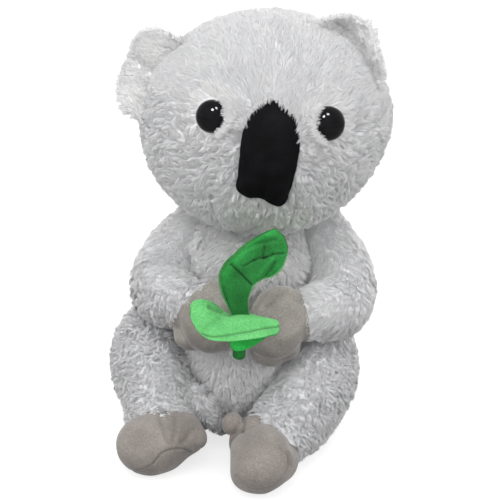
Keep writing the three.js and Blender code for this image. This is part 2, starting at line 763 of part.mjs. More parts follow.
// Sprig
const pawHeight = shoulderHeight - pawShares.drop * armDrop;
const sprigAt = new THREE.Vector3(armAside, -armForward - stemProud, pawHeight - sprigDrop);
const sprigPlace = (length, [aside, ahead, rise]) =>
  sprigAt.clone().add(new THREE.Vector3(aside * length, -ahead * length, rise * length));
const stemPathShares = [[-0.02, -0.3, -0.44], [0, -0.16, 0.1], [0, 0.26, 0.62]];
const stemForm = new THREE.ExtrudeGeometry(
  new THREE.Shape().absellipse(0, 0, stemRadius, stemRadius, 0, Math.PI * 2),
  {
    steps: limbSteps,
    curveSegments: smallSides / 2,
    bevelEnabled: false,
    extrudePath: new THREE.CatmullRomCurve3(stemPathShares.map((share) => sprigPlace(stemLength, share))),
  },
);
const pawsRoom = ['left', 'right'].map((side) => solidOf(grown(arms[side].pawForm, fit)));
const stem = cut(solidOf(stemForm), ...pawsRoom);

const upperSpineShares = [
  [0, 0.22, 0.44], [-0.04, 0.23, 0.56], [-0.07, 0.26, 0.76],
  [0.03, 0.27, 0.95], [0.19, 0.25, 1.12], [0.36, 0.22, 1.3],
];
const lowerSpineShares = [
  [-0.5, 0.36, 0.38], [-0.25, 0.34, 0.36], [0, 0.36, 0.27], [0.22, 0.38, 0.3], [0.44, 0.38, 0.36],
];
const upperWidthShares = [0.5, 0.5, 0.98, 1.02, 1.02, 0.98, 0.42];
const lowerWidthShares = [0.5, 0.95, 1, 0.95, 0.85, 0.65, 0.3];
const widthAlong = (halfWidth, shares) => {
  const run = new THREE.SplineCurve(shares.map((share, i) => new THREE.Vector2(i, share * halfWidth)));
  return (t) => run.getPoint(t).y;
};
const upperLeaf = {
  spine: new THREE.CatmullRomCurve3(upperSpineShares.map((share) => sprigPlace(leafLength, share))),
  face: new THREE.Vector3(0.1, -1, 0.35).normalize(),
  halfWidthAt: widthAlong(leafHalfWidth, upperWidthShares),
};
const lowerLeaf = {
  spine: new THREE.CatmullRomCurve3(lowerSpineShares.map((share) => sprigPlace(lowerLeafLength, share))),
  face: new THREE.Vector3(0, -0.55, 0.84).normalize(),
  halfWidthAt: widthAlong(lowerLeafHalfWidth, lowerWidthShares),
};
const leafLayerForm = (leaf, front) => bladeForm({
  ...leaf,
  cup: leafCup,
  inner: front ? fit / 2 : -fit / 2,
  outer: front ? leafStuffing : -leafStuffing,
});
const leafLayer = (leaf, front) => solidOf(leafLayerForm(leaf, front));
const leafRoom = (leaf) => joined(
  solidOf(grown(leafLayerForm(leaf, true), fit * 2)),
  solidOf(grown(leafLayerForm(leaf, false), fit * 2)),
  solidOf(leafLayerForm(leaf, false)).translate(0, 0, -leafStuffing),
);
const stemRoom = solidOf(grown(stemForm, fit));
const lowerRoom = leafRoom(lowerLeaf);
const upperRooms = [stemRoom, lowerRoom, ...pawsRoom];
const upperFace = cut(leafLayer(upperLeaf, true), ...upperRooms);
const upperBack = cut(leafLayer(upperLeaf, false), ...upperRooms);
const lowerFace = cut(leafLayer(lowerLeaf, true), stemRoom, ...pawsRoom);
const lowerBack = cut(leafLayer(lowerLeaf, false), stemRoom, ...pawsRoom);

// The assembly: each group stands at the point that its pieces turn about
function group(parent, place) {
  const made = new THREE.Group();
  made.position.copy(place);
  parent.add(made);
  parent.updateWorldMatrix(true, true);
  return made;
}

function carry(parent, name, solid, material) {
  const geometry = geometryOf(solid);
  const mesh = new THREE.Mesh(geometry, material);
  parent.updateWorldMatrix(true, false);
  geometry.applyMatrix4(parent.matrixWorld.clone().invert());
  mesh.name = name;
  parent.add(mesh);
}

const koala = new THREE.Group();
carry(koala, 'torso_skin', torsoSkin, greyFur);
carry(koala, 'belly_panel', bellyPanel, whiteFur);
carry(koala, 'torso_fill', torsoFill, stuffing);
carry(koala, 'seat_pellet_bag', pelletBag, pelletCloth);

const headGroup = group(koala, new THREE.Vector3(0, 0, torsoHeight));
carry(headGroup, 'head_skin', headShell, greyFur);
carry(headGroup, 'muzzle_panel', muzzlePanel, whiteFur);
carry(headGroup, 'nose', nose, velour);
carry(headGroup, 'head_fill', headFill, stuffing);
const armsGroup = group(koala, shoulderPivot);
for (const side of ['left', 'right']) {
  carry(headGroup, `eye_patch_${side}`, patches[side], whiteFur);
  carry(headGroup, `eye_${side}`, eyes[side], glossBlack);
  carry(headGroup, `eye_washer_${side}`, washers[side], whitePlastic);

  const earGroup = group(headGroup, earPivots[side].clone().sub(headGroup.position));
  carry(earGroup, `ear_${side}_front`, ears[side].front, whiteFur);
  carry(earGroup, `ear_${side}_back`, ears[side].back, greyFur);

  carry(armsGroup, `arm_${side}_sleeve`, arms[side].sleeve, greyFur);
  carry(armsGroup, `paw_${side}`, arms[side].paw, suede);
  carry(armsGroup, `arm_${side}_fill`, arms[side].fill, stuffing);

  const legGroup = group(koala, hipPivot(sideSign[side]));
  carry(legGroup, `leg_${side}_skin`, legs[side].skin, greyFur);
  carry(legGroup, `foot_${side}_upper`, legs[side].upper, suede);
  carry(legGroup, `foot_${side}_sole`, legs[side].sole, suede);
  carry(legGroup, `leg_${side}_fill`, legs[side].fill, stuffing);
}
carry(armsGroup, 'sprig_stem', stem, darkGreen);
carry(armsGroup, 'leaf_upper_face', upperFace, darkGreen);
carry(armsGroup, 'leaf_upper_back', upperBack, lightGreen);
carry(armsGroup, 'leaf_lower_face', lowerFace, lightGreen);
carry(armsGroup, 'leaf_lower_back', lowerBack, darkGreen);

export default koala;
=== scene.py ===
import math

import bmesh
import bpy
import numpy as np
from mathutils import Matrix, Vector, kdtree


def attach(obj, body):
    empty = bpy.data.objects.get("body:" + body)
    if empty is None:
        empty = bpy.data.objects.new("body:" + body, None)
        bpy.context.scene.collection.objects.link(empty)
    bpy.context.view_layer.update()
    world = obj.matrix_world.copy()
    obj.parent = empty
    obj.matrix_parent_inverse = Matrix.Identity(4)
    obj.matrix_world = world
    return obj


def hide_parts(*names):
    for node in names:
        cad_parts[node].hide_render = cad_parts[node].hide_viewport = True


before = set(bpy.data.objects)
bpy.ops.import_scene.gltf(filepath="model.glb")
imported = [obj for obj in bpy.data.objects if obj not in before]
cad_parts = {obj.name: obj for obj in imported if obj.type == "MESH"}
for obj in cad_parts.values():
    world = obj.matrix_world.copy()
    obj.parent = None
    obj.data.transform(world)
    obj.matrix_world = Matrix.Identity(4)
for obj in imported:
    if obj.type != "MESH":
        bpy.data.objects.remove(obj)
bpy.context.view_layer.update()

scene = bpy.context.scene
MM = 0.001
DENSE = 1.0


# Camera, at the photograph's angle: 1 m from a point on the torso's axis
def unit(v):
    v = np.asarray(v, float)
    return v / np.maximum(np.linalg.norm(v, axis=-1, keepdims=True), 1e-12)


def turn(axis, degrees):
    x, y, z = unit(axis)
    a = math.radians(degrees)
    c, s, k = math.cos(a), math.sin(a), 1 - math.cos(a)
    return np.array([
        [c + x * x * k, x * y * k - z * s, x * z * k + y * s],
        [y * x * k + z * s, c + y * y * k, y * z * k - x * s],
        [z * x * k - y * s, z * y * k + x * s, c + z * z * k],
    ])


def camera_basis(azimuth, elevation, roll):
    a, e, r = map(math.radians, (azimuth, elevation, roll))
    back = np.array([math.sin(a) * math.cos(e), -math.cos(a) * math.cos(e), math.sin(e)])
    flat = np.array([math.cos(a), math.sin(a), 0.0])
    rise = np.cross(back, flat)
    right = math.cos(r) * flat + math.sin(r) * rise
    upward = -math.sin(r) * flat + math.cos(r) * rise
    return right, upward, back


CAMERA_TARGET = np.array([0.0, 0.0, 125.0])
CAMERA_DISTANCE = 1000.0
CAMERA_AZIMUTH, CAMERA_ELEVATION, CAMERA_ROLL = 4.0, 22.0, 3.5
HALF_SENSOR = 18.0
HALF_VIEW_SHARE = 0.175
RIGHT, UPWARD, BACK = camera_basis(CAMERA_AZIMUTH, CAMERA_ELEVATION, CAMERA_ROLL)
camera_data = bpy.data.cameras.new("photo_camera")
camera = bpy.data.objects.new("photo_camera", camera_data)
scene.collection.objects.link(camera)
camera_data.sensor_width = 2 * HALF_SENSOR
camera_data.lens = HALF_SENSOR / HALF_VIEW_SHARE
camera_data.clip_start = 0.05
camera_data.clip_end = 20.0
eye_at = (CAMERA_TARGET + BACK * CAMERA_DISTANCE) * MM
camera.matrix_world = Matrix(np.vstack([np.column_stack([RIGHT, UPWARD, BACK, eye_at]), [0, 0, 0, 1]]))
scene.camera = camera


# Smooth noise from a few dozen waves, the same on every run
def wave_noise(points, size, seed, count=24):
    rng = np.random.default_rng(seed)
    ways = unit(rng.normal(size=(count, 3)))
    rates = (2 * math.pi / size) * rng.uniform(0.6, 1.5, count)
    phases = rng.uniform(0, 2 * math.pi, count)
    total = np.sin(points @ (ways * rates[:, None]).T + phases).sum(axis=1)
    return total / math.sqrt(count / 2) / 1.6


def smooth_step(x, low, high):
    t = np.clip((x - low) / (high - low), 0, 1)
    return t * t * (3 - 2 * t)


# Curves
def curve_through(points, t):
    """A centripetal curve through the points, at t from 0 to 1."""
    points = np.asarray(points, float)
    ends = np.vstack([2 * points[0] - points[1], points, 2 * points[-1] - points[-2]])
    spans = len(points) - 1
    t = np.atleast_1d(np.asarray(t, float))
    place = np.clip(t, 0, 1) * spans
    first = np.minimum(place.astype(int), spans - 1)
    w = (place - first)[:, None]
    p0, p1, p2, p3 = (ends[first + k] for k in range(4))
    d = [np.maximum(np.linalg.norm(b - a, axis=1, keepdims=True), 1e-9) ** 0.5
         for a, b in ((p0, p1), (p1, p2), (p2, p3))]
    m1 = ((p1 - p0) / d[0] - (p2 - p0) / (d[0] + d[1]) + (p2 - p1) / d[1]) * d[1]
    m2 = ((p2 - p1) / d[1] - (p3 - p1) / (d[1] + d[2]) + (p3 - p2) / d[2]) * d[1]
    a = 2 * p1 - 2 * p2 + m1 + m2
    b = -3 * p1 + 3 * p2 - 2 * m1 - m2
    return a * w ** 3 + b * w ** 2 + m1 * w + p1


def way_along(points, t, step=1e-3):
    """The way that the curve through the points runs at t."""
    ahead = curve_through(points, np.minimum(t + step, 1))
    return unit(ahead - curve_through(points, np.maximum(t - step, 0)))


def even_curve_through(points, t):
    """A uniform curve through the points, at t from 0 to 1."""
    points = np.asarray(points, float)
    last = len(points) - 1
    t = np.atleast_1d(np.asarray(t, float))
    place = np.clip(t, 0, 1) * last
    i1 = np.minimum(place.astype(int), last - 1)
    w = (place - i1)[:, None]
    p0, p1 = points[np.maximum(i1 - 1, 0)], points[i1]
    p2, p3 = points[i1 + 1], points[np.minimum(i1 + 2, last)]
    v0, v1 = (p2 - p0) * 0.5, (p3 - p1) * 0.5
    return ((2 * p1 - 2 * p2 + v0 + v1) * w ** 3 + (-3 * p1 + 3 * p2 - 2 * v0 - v1) * w ** 2
            + v0 * w + p1)


# Meshes: every form is worked out in millimetres
def closed_grid(rings):
    """A closed skin over rings of points, with a point at each end."""
    rings = np.asarray(rings)
    rows, columns = rings.shape[:2]
    points = np.vstack([rings.reshape(-1, 3), rings[0].mean(axis=0), rings[-1].mean(axis=0)])
    s = np.arange(columns)
    n = (s + 1) % columns
    row = np.arange(rows - 1)[:, None] * columns
    a, b = row + s, row + n
    quads = np.stack([a, b, b + columns, a + columns], axis=-1).reshape(-1, 4)
    base = (rows - 1) * columns
    first = np.stack([n, s, np.full(columns, rows * columns)], axis=1)
    last = np.stack([base + s, base + n, np.full(columns, rows * columns + 1)], axis=1)
    return facing_out(points, np.vstack([quads[:, [0, 1, 2]], quads[:, [0, 2, 3]], first, last]))


def oval_rings(centres, across, rise, wide, tall, columns):
    """A closed skin over ovals about the centres, each across one way and rising another."""
    a = np.linspace(0, 2 * math.pi, columns, endpoint=False)
    across, rise = (np.broadcast_to(way, centres.shape)[:, None, :] for way in (across, rise))
    return closed_grid(centres[:, None, :] + across * (np.cos(a)[None, :] * wide[:, None])[..., None]
                       + rise * (np.sin(a)[None, :] * tall[:, None])[..., None])


def facing_out(points, faces):
    """The faces of a closed skin turned so that they all face out."""
    a, b, c = (points[faces[:, k]] for k in range(3))
    if np.einsum("ij,ij->i", a, np.cross(b, c)).sum() < 0:
        faces = faces[:, ::-1]
    return points, faces


def point_normals(points, faces):
    a, b, c = (points[faces[:, k]] for k in range(3))
    n = np.cross(b - a, c - a)
    total = np.zeros_like(points)
    for k in range(3):
        np.add.at(total, faces[:, k], n)
    return unit(total)


def mesh_object(name, points, faces, material, tint=None, uv=None, normals=None):
    """One mesh piece. points are millimetres, and faces triangles."""
    data = bpy.data.meshes.new(name)
    faces = np.asarray(faces, np.int32)
    data.vertices.add(len(points))
    data.vertices.foreach_set("co", (np.asarray(points, float) * MM).astype(np.float32).ravel())
    data.loops.add(faces.size)
    data.loops.foreach_set("vertex_index", faces.ravel())
    data.polygons.add(len(faces))
    data.polygons.foreach_set("loop_start", np.arange(0, faces.size, 3, dtype=np.int32))
    data.update(calc_edges=True)
    data.polygons.foreach_set("use_smooth", np.ones(len(faces), bool))
    if tint is not None:
        layer = data.color_attributes.new("tint", "FLOAT_COLOR", "POINT")
        colours = np.ones((len(points), 4), np.float32)
        colours[:, :3] = tint
        layer.data.foreach_set("color", colours.ravel())
    if uv is not None:
        layer = data.uv_layers.new(name="OFBake")
        layer.data.foreach_set("uv", np.asarray(uv, np.float32)[faces.ravel()].ravel())
    if normals is not None:
        data.normals_split_custom_set_from_vertices(np.asarray(normals, np.float32))
    data.materials.append(material)
    made = bpy.data.objects.new(name, data)
    scene.collection.objects.link(made)
    return made


def arrays_of(mesh):
    """A mesh's points in millimetres, and its triangles."""
    points = np.empty(len(mesh.vertices) * 3, np.float32)
    mesh.vertices.foreach_get("co", points)
    mesh.calc_loop_triangles()
    faces = np.empty(len(mesh.loop_triangles) * 3, np.int32)
    mesh.loop_triangles.foreach_get("vertices", faces)
    return points.reshape(-1, 3).astype(float) / MM, faces.reshape(-1, 3)


def grown_together(parts, cell, smoothing):
    """One closed skin over several forms that run into each other, smoothed where they meet."""
    offsets = np.cumsum([0] + [len(p) for p, f in parts])
    points = np.vstack([p for p, f in parts])
    faces = np.vstack([f + o for (p, f), o in zip(parts, offsets)])
    data = bpy.data.meshes.new("sewn")
    data.from_pydata((points * MM).tolist(), [], faces.tolist())
    made = bpy.data.objects.new("sewn", data)
    scene.collection.objects.link(made)
    remesh = made.modifiers.new("remesh", "REMESH")
    remesh.mode = "VOXEL"
    remesh.voxel_size = cell * MM
    smooth = made.modifiers.new("smooth", "SMOOTH")
    smooth.factor = 0.5
    smooth.iterations = smoothing
    graph = bpy.context.evaluated_depsgraph_get()
    whole = made.evaluated_get(graph)
    result = arrays_of(whole.to_mesh())
    whole.to_mesh_clear()
    bpy.data.objects.remove(made)
    bpy.data.meshes.remove(data)
    return result


def uneven(skin, amount, size, seed):
    """A skin with a gentle waviness."""
    points, faces = skin
    return points + point_normals(points, faces) * (amount * wave_noise(points, size, seed))[:, None], faces


def cut_flat(skin, at, way):
    """The part of a closed skin that lies behind a plane, closed flat over the cut."""
    data = bpy.data.meshes.new("cut")
    data.from_pydata((skin[0] * MM).tolist(), [], skin[1].tolist())
    made = bmesh.new()
    made.from_mesh(data)
    whole = made.verts[:] + made.edges[:] + made.faces[:]
    bmesh.ops.bisect_plane(made, geom=whole, plane_co=at * MM, plane_no=way, clear_outer=True)
    bmesh.ops.holes_fill(made, edges=[e for e in made.edges if e.is_boundary], sides=0)
    bmesh.ops.triangulate(made, faces=made.faces[:])
    made.to_mesh(data)
    made.free()
    result = arrays_of(data)
    bpy.data.meshes.remove(data)
    return result


def distance_to_line(points, line):
    """How far each point is from a run of straight pieces."""
    best = np.full(len(points), 1e9)
    for a, b in zip(line[:-1], line[1:]):
        a, b = np.asarray(a, float), np.asarray(b, float)
        t = np.clip((points - a) @ (b - a) / max((b - a) @ (b - a), 1e-9), 0, 1)
        best = np.minimum(best, np.linalg.norm(points - a - t[:, None] * (b - a), axis=1))
    return best


def near_line(points, line, width, count=40):
    """1 on a smooth line through a few places, and less away from it."""
    smooth = curve_through(line, np.linspace(0, 1, count))
    return np.exp(-(distance_to_line(points, smooth) / width) ** 2)


def seen(points):
    """Where points stand in the camera's picture, in millimetres on the plane through its target."""
    q = np.asarray(points, float) - CAMERA_TARGET
    scale = CAMERA_DISTANCE / (CAMERA_DISTANCE - q @ BACK)
    return np.stack([q @ RIGHT * scale, q @ UPWARD * scale], axis=-1)


def pressed_with_seams_and_painted_shade(skin, marks):
    """The skin pressed in along each mark (a line as seen from the front, its depth, its width and how much
    darker it is there: dark seam thread, or painted shade in a crease, and painted light where that is
    negative), with the tone of every point."""
    points, faces = skin
    normals = point_normals(points, faces)
    front = smooth_step(normals @ BACK, -0.1, 0.3)
    flat = seen(points)
    shift, tone = np.zeros(len(points)), np.ones(len(points))
    for line, depth, width, dark in marks:
        near = near_line(flat, line, width) * front
        shift -= depth * near
        # the darkness along a mark: dark seam thread or painted shade in a crease; where it is negative,
        # painted light
        tone *= 1 - dark * near
    return (points + normals * shift[:, None], faces), np.repeat(tone[:, None], 3, axis=1)


# Forms of the stuffed pieces, each with a rough distance from its surface, negative inside
class Egg:
    def __init__(self, centre, half, axes=np.eye(3), square=2.0, taper=(0.0, 0.0)):
        self.centre, self.half, self.axes = np.asarray(centre, float), np.asarray(half, float), axes
        self.square, self.taper = square, taper

    def narrowing(self, across, rise):
        """How much the form draws in below its middle, which may differ from side to side."""
        return 1 - np.where(across > 0, *self.taper) * np.clip(-rise, 0, 1.2)

    def surface(self, ways):
        ways = unit(ways)
        share = (np.abs(ways) ** self.square).sum(axis=1) ** (-1 / self.square)
        local = ways * share[:, None]
        local[:, 0] *= self.narrowing(local[:, 0], local[:, 2])
        return (local * self.half) @ self.axes.T + self.centre

    def distance(self, points):
        q = (points - self.centre) @ self.axes / self.half
        q[:, 0] /= self.narrowing(q[:, 0], q[:, 2])
        f = (np.abs(q) ** self.square).sum(axis=1) ** (1 / self.square)
        return (f - 1) * self.half.min()

    def mesh(self, rows=96, columns=160):
        e = np.linspace(-math.pi / 2, math.pi / 2, rows + 2)[1:-1]
        a = np.linspace(0, 2 * math.pi, columns, endpoint=False)
        ee, aa = np.meshgrid(e, a, indexing="ij")
        ways = np.stack([np.sin(aa) * np.cos(ee), -np.cos(aa) * np.cos(ee), np.sin(ee)], axis=-1)
        return closed_grid(self.surface(ways.reshape(-1, 3)).reshape(rows, columns, 3))


class Lathe:
    def __init__(self, profile):
        self.profile = np.asarray(profile, float)

    def outline(self, count=160):
        return even_curve_through(self.profile, np.linspace(0, 1, count))

    def distance(self, points):
        line = self.outline()
        keep = np.argsort(line[:, 1])
        radius = np.interp(points[:, 2], line[keep, 1], line[keep, 0])
        flat = np.hypot(points[:, 0], points[:, 1]) - radius
        return np.maximum(flat, np.maximum(-points[:, 2], points[:, 2] - line[:, 1].max()))

    def mesh(self, rows=110, columns=160):
        line = self.outline(rows)
        line = line[line[:, 0] > 0.5]
        a = np.linspace(0, 2 * math.pi, columns, endpoint=False)
        rings = np.stack([
            line[:, :1] * np.sin(a)[None, :],
            -line[:, :1] * np.cos(a)[None, :],
            np.repeat(line[:, 1:], columns, axis=1),
        ], axis=-1)
        return closed_grid(rings)


class Limb:
    """Oval sections on a curve with rounded ends, as a stuffed limb is."""

    def __init__(self, stations):
        self.at = np.array([s[0] for s in stations], float)
        self.girth = np.array([[s[1], s[2], 0.0] for s in stations], float)

    def section(self, t):
        along = way_along(self.at, t)
        across = unit(np.cross(along, np.array([0, 0, 1.0])))
        girth = curve_through(self.girth, t)
        return curve_through(self.at, t), along, across, np.cross(across, along), girth[:, 0], girth[:, 1]

    def mesh(self, rows=70, columns=96, cap=14):
        angles = np.linspace(0, math.pi / 2, cap + 1)[1:]
        t = np.concatenate([np.zeros(cap - 1), np.linspace(0, 1, rows), np.ones(cap - 1)])
        shift = np.concatenate([-np.cos(angles[:-1]), np.zeros(rows), np.cos(angles[:-1][::-1])])
        size = np.concatenate([np.sin(angles[:-1]), np.ones(rows), np.sin(angles[:-1][::-1])])
        at, along, across, rise, tall, wide = self.section(t)
        centres = at + along * (shift * wide)[:, None]
        return oval_rings(centres, across, rise, wide * size, tall * size, columns)

    def distance(self, points, steps=48):
        at, along, across, rise, tall, wide = self.section(np.linspace(0, 1, steps))
        best = np.full(len(points), 1e9)
        for k in range(steps):
            d = points - at[k]
            f = np.sqrt((d @ across[k] / wide[k]) ** 2 + (d @ rise[k] / tall[k]) ** 2
                        + (d @ along[k] / wide[k]) ** 2)
            best = np.minimum(best, (f - 1) * wide[k])
        return best

    def along_at(self, points, steps=48):
        at, along, *_ = self.section(np.linspace(0, 1, steps))
        return along[np.argmin(((points[:, None, :] - at[None]) ** 2).sum(axis=2), axis=1)]


# The named sizes of the solids, in millimetres
ARM_MIDDLE, ARM_SHIFT = 3, 3.6
ARM_SPREAD, ARM_FORWARD, ARM_DROP, ARM_RADIUS = 63, 72, 43, 24
SHOULDER_HEIGHT = 143
LEG_FORWARD, LEG_HEIGHT, THIGH_HALF_HEIGHT, THIGH_HALF_WIDTH = 80, 46, 41, 28
ANKLE_SHARE, ANKLE_RADIUS, ANKLE_HEIGHT = 0.86, 24, 25
STEM_LENGTH, STEM_RADIUS, STEM_PROUD, SPRIG_DROP = 36, 4.2, 16, 8.0
EAR_HALF_WIDTH, EAR_CUP, EAR_LENGTH, EAR_ROOT, EAR_ROUNDNESS = 28.5, 15 / 30.5, 16, 12, 2.1
TORSO_OUTLINE = [(0, -0.5), (21, -0.5), (42, 0.25), (53.5, 12.5), (64, 50), (54, 108), (39, 147),
                 (19.5, 161.25), (0, 166)]
TORSO = Lathe(TORSO_OUTLINE)
HEAD_AXES = turn((0, 0, 1), 7) @ turn((0, 1, 0), -5.5)
HEAD = Egg((6.5, -12, 222), (84.5, 73, 75.5), HEAD_AXES, square=2.02, taper=(0.13, 0.0))
SIDES = {"left": 1, "right": -1}

# Stations up a limb, as shares of its sizes: for an arm how far out, ahead and down it is, and its girth,
# and for a leg how far out, ahead and up it is, and its height and width
ARM_SHARES = [(0.6, -0.1, -0.06, 0.8), (0.91, 0.13, 0.58, 1.01), (0.94, 0.54, 0.85, 0.98),
              (0.6, 0.88, 0.83, 17.3 / 24)]
LEG_SHARES = [(0.94, -0.02, 1, 0.87, 1.05), (0.94, 0.34, 1, 0.97, 1.09), (0.81, 0.72, 0.76, 0.86, 0.9)]
LEG_OUT = {"left": 56, "right": 66}
FOOT_AT = {"left": (26, -101, 20.5), "right": (-45, -95, 20.5)}
FOOT_SPLAY = {"left": -6, "right": -52}


def arm_place(sign, out, ahead, drop):
    across = sign * out * ARM_SPREAD + ARM_MIDDLE + ARM_SHIFT * max(1 - ahead, 0)
    return np.array([across, -ahead * ARM_FORWARD, SHOULDER_HEIGHT - drop * ARM_DROP])


def arm_form(side):
    sign = SIDES[side]
    return Limb([(arm_place(sign, o, f, d), ARM_RADIUS * g, ARM_RADIUS * g) for o, f, d, g in ARM_SHARES])


def paw_form(side):
    sign = SIDES[side]
    return Egg(arm_place(sign, 0.36, 1, 0.9), (20, 18, 26), turn((0, 1, 0), sign * 20), square=2.2)


def leg_form(side):
    sign = SIDES[side]
    out = LEG_OUT[side]
    stations = [
        ((sign * out * o, -LEG_FORWARD * f, LEG_HEIGHT * r), THIGH_HALF_HEIGHT * t, THIGH_HALF_WIDTH * w)
        for o, f, r, t, w in LEG_SHARES]
    ankle_x = sign * out + (FOOT_AT[side][0] - sign * out) * ANKLE_SHARE
    stations.append(((ankle_x, -LEG_FORWARD, ANKLE_HEIGHT), ANKLE_RADIUS, ANKLE_RADIUS))
    return Limb(stations)


def foot_form(side):
    return Egg(FOOT_AT[side], (21.5, 31, 21), turn((0, 0, 1), FOOT_SPLAY[side]), square=2.2)


ARMS = {s: arm_form(s) for s in SIDES}
PAWS = {s: paw_form(s) for s in SIDES}
LEGS = {s: leg_form(s) for s in SIDES}
FEET = {s: foot_form(s) for s in SIDES}


def head_spot(azimuth, elevation):
    """A place on the head, with the ways sideways, up and out of the head there."""
    def surface(az, el):
        a, e = math.radians(az), math.radians(el)
        way = [[math.sin(a) * math.cos(e), -math.cos(a) * math.cos(e), math.sin(e)]]
        return HEAD.surface(np.array(way))[0]
    at = surface(azimuth, elevation)
    sideways = unit(surface(azimuth + 1, elevation) - surface(azimuth - 1, elevation))
    rising = unit(surface(azimuth, elevation + 1) - surface(azimuth, elevation - 1))
    out = unit(np.cross(sideways, rising))
    return at, sideways, np.cross(out, sideways), out


EYE_SPOTS = {"left": head_spot(26.8, 13.1), "right": head_spot(-26.5, 19.2)}
MUZZLE_SPOT = head_spot(-6, -40)
NOSE_SPOT = head_spot(-0.6, 0)


# Materials
def node_material(name):
    material = bpy.data.materials.new(name)
    material.use_nodes = True
    tree = material.node_tree
    shader = tree.nodes["Principled BSDF"]
    return material, tree, shader


def add(tree, kind, **values):
    node = tree.nodes.new(kind)
    for key, value in values.items():
        setattr(node, key, value)
    return node


def set_inputs(node, values):
    for key, value in values.items():
        node.inputs[key].default_value = value


def noise_node(tree, scale, detail=2.0, rough=0.5):
    place = add(tree, "ShaderNodeTexCoord")
    noise = add(tree, "ShaderNodeTexNoise")
    set_inputs(noise, {"Scale": scale, "Detail": detail, "Roughness": rough})
    tree.links.new(place.outputs["Object"], noise.inputs["Vector"])
    return noise


def ramp_node(tree, noise, half_spread, dark, light):
    """Two colours, dark where the noise is low and light where it is high."""
    ramp = add(tree, "ShaderNodeValToRGB")
    places = (0.5 - half_spread, 0.5 + half_spread)
    for element, place, colour in zip(ramp.color_ramp.elements, places, (dark, light)):
        element.position, element.color = place, (*colour, 1)
    tree.links.new(noise.outputs["Fac"], ramp.inputs["Fac"])
    return ramp.outputs["Color"]


def multiply(tree, first, second):
    mix = add(tree, "ShaderNodeMix", data_type="RGBA", blend_type="MULTIPLY")
    mix.inputs["Factor"].default_value = 1
    tree.links.new(first, mix.inputs["A"])
    tree.links.new(second, mix.inputs["B"])
    return mix.outputs["Result"]


def fur_material(name):
    """Pile whose colour runs from root to tip, with a slow change over the cloth."""
    material, tree, shader = node_material(name)
    tint = add(tree, "ShaderNodeAttribute", attribute_name="tint")
    shade = ramp_node(tree, noise_node(tree, 38.0, detail=3.0), 0.2, (0.93, 0.93, 0.94), (1.0, 1.0, 1.0))
    tree.links.new(multiply(tree, tint.outputs["Color"], shade), shader.inputs["Base Color"])
    set_inputs(shader, {
        "Roughness": 0.85, "Specular IOR Level": 0.0, "Sheen Weight": 0.12, "Sheen Roughness": 0.5,
        "Subsurface Weight": 0.75, "Subsurface Radius": (1.0, 1.0, 1.0), "Subsurface Scale": 0.001})
    return material


def nap_material(name, dark, light, scale=1.0, sheen=0.35, grain=0.35, shine=0.2, spread=0.2, toned=True):
    """Brushed cloth: strokes of nap in two tones, and a fine grain."""
    material, tree, shader = node_material(name)
    slow = noise_node(tree, 55.0 * scale, detail=4.0, rough=0.6)
    fine = noise_node(tree, 800.0 * scale, detail=4.0, rough=0.75)
    tone = ramp_node(tree, slow, 0.16, dark, light)
    speck = ramp_node(tree, fine, spread, (0.76, 0.76, 0.76), (1.14, 1.14, 1.14))
    colour = multiply(tree, tone, speck)
    if toned:
        tint = add(tree, "ShaderNodeAttribute", attribute_name="tint")
        colour = multiply(tree, colour, tint.outputs["Color"])
    tree.links.new(colour, shader.inputs["Base Color"])
    set_inputs(shader, {"Roughness": 0.88, "Specular IOR Level": shine, "Sheen Weight": sheen,
                        "Sheen Roughness": 0.45})
    bump = add(tree, "ShaderNodeBump")
    set_inputs(bump, {"Strength": grain, "Distance": 0.0004})
    tree.links.new(fine.outputs["Fac"], bump.inputs["Height"])
    tree.links.new(bump.outputs["Normal"], shader.inputs["Normal"])
    return material


def gloss_material(name, dark, light):
    material, tree, shader = node_material(name)
    tree.links.new(ramp_node(tree, noise_node(tree, 160.0), 0.2, dark, light), shader.inputs["Base Color"])
    set_inputs(shader, {"Roughness": 0.05, "Specular IOR Level": 0.13})
    return material


GREY_FUR = fur_material("grey_fur_pile")
WHITE_FUR = fur_material("white_fur_pile")
SUEDE = nap_material("taupe_suede", (0.225, 0.203, 0.188), (0.30, 0.276, 0.258), spread=0.14)
VELOUR = nap_material("black_velour", (0.004, 0.004, 0.0045), (0.007, 0.007, 0.008),
                      scale=1.2, sheen=0.0, grain=0.5, shine=0.03, toned=False)
LIGHT_GREEN = nap_material("light_green_plush", (0.08, 0.365, 0.10), (0.12, 0.46, 0.142),
                           scale=1.3, sheen=0.15, grain=0.5, spread=0.09)
DARK_GREEN = nap_material("dark_green_plush", (0.008, 0.135, 0.020), (0.016, 0.20, 0.036),
                          scale=1.3, sheen=0.12, grain=0.5, spread=0.09)
WASHER = nap_material("washer_plastic", (0.78, 0.78, 0.77), (0.84, 0.84, 0.83),
                      sheen=0.0, grain=0.1, toned=False)
EYE_GLOSS = gloss_material("eye_gloss", (0.003, 0.003, 0.0035), (0.006, 0.006, 0.007))


# Points over a skin, one to each square of the given spacing
def scatter(points, faces, spacing, seed):
    rng = np.random.default_rng(seed)
    a, b, c = (points[faces[:, k]] for k in range(3))
    area = np.linalg.norm(np.cross(b - a, c - a), axis=1) / 2
    running = np.cumsum(area)
    count = int(running[-1] / spacing ** 2)
    picks = (np.arange(count) + rng.uniform(size=count)) / count * running[-1]
    face = np.minimum(np.searchsorted(running, picks), len(faces) - 1)
    u, v = rng.uniform(size=(2, count))
    over = u + v > 1
    u[over], v[over] = 1 - u[over], 1 - v[over]
    normals = point_normals(points, faces)
    weights = np.stack([1 - u - v, u, v], axis=1)
    place = sum(points[faces[face, k]] * weights[:, k:k + 1] for k in range(3))
    normal = unit(sum(normals[faces[face, k]] * weights[:, k:k + 1] for k in range(3)))
    return place, normal


def nearest_of(places, centres):
    """Which of the centres is nearest to each place."""
    tree = kdtree.KDTree(len(centres))
    for i, c in enumerate(centres):
        tree.insert(Vector(c), i)
    tree.balance()
    return np.array([tree.find(Vector(p))[1] for p in places])


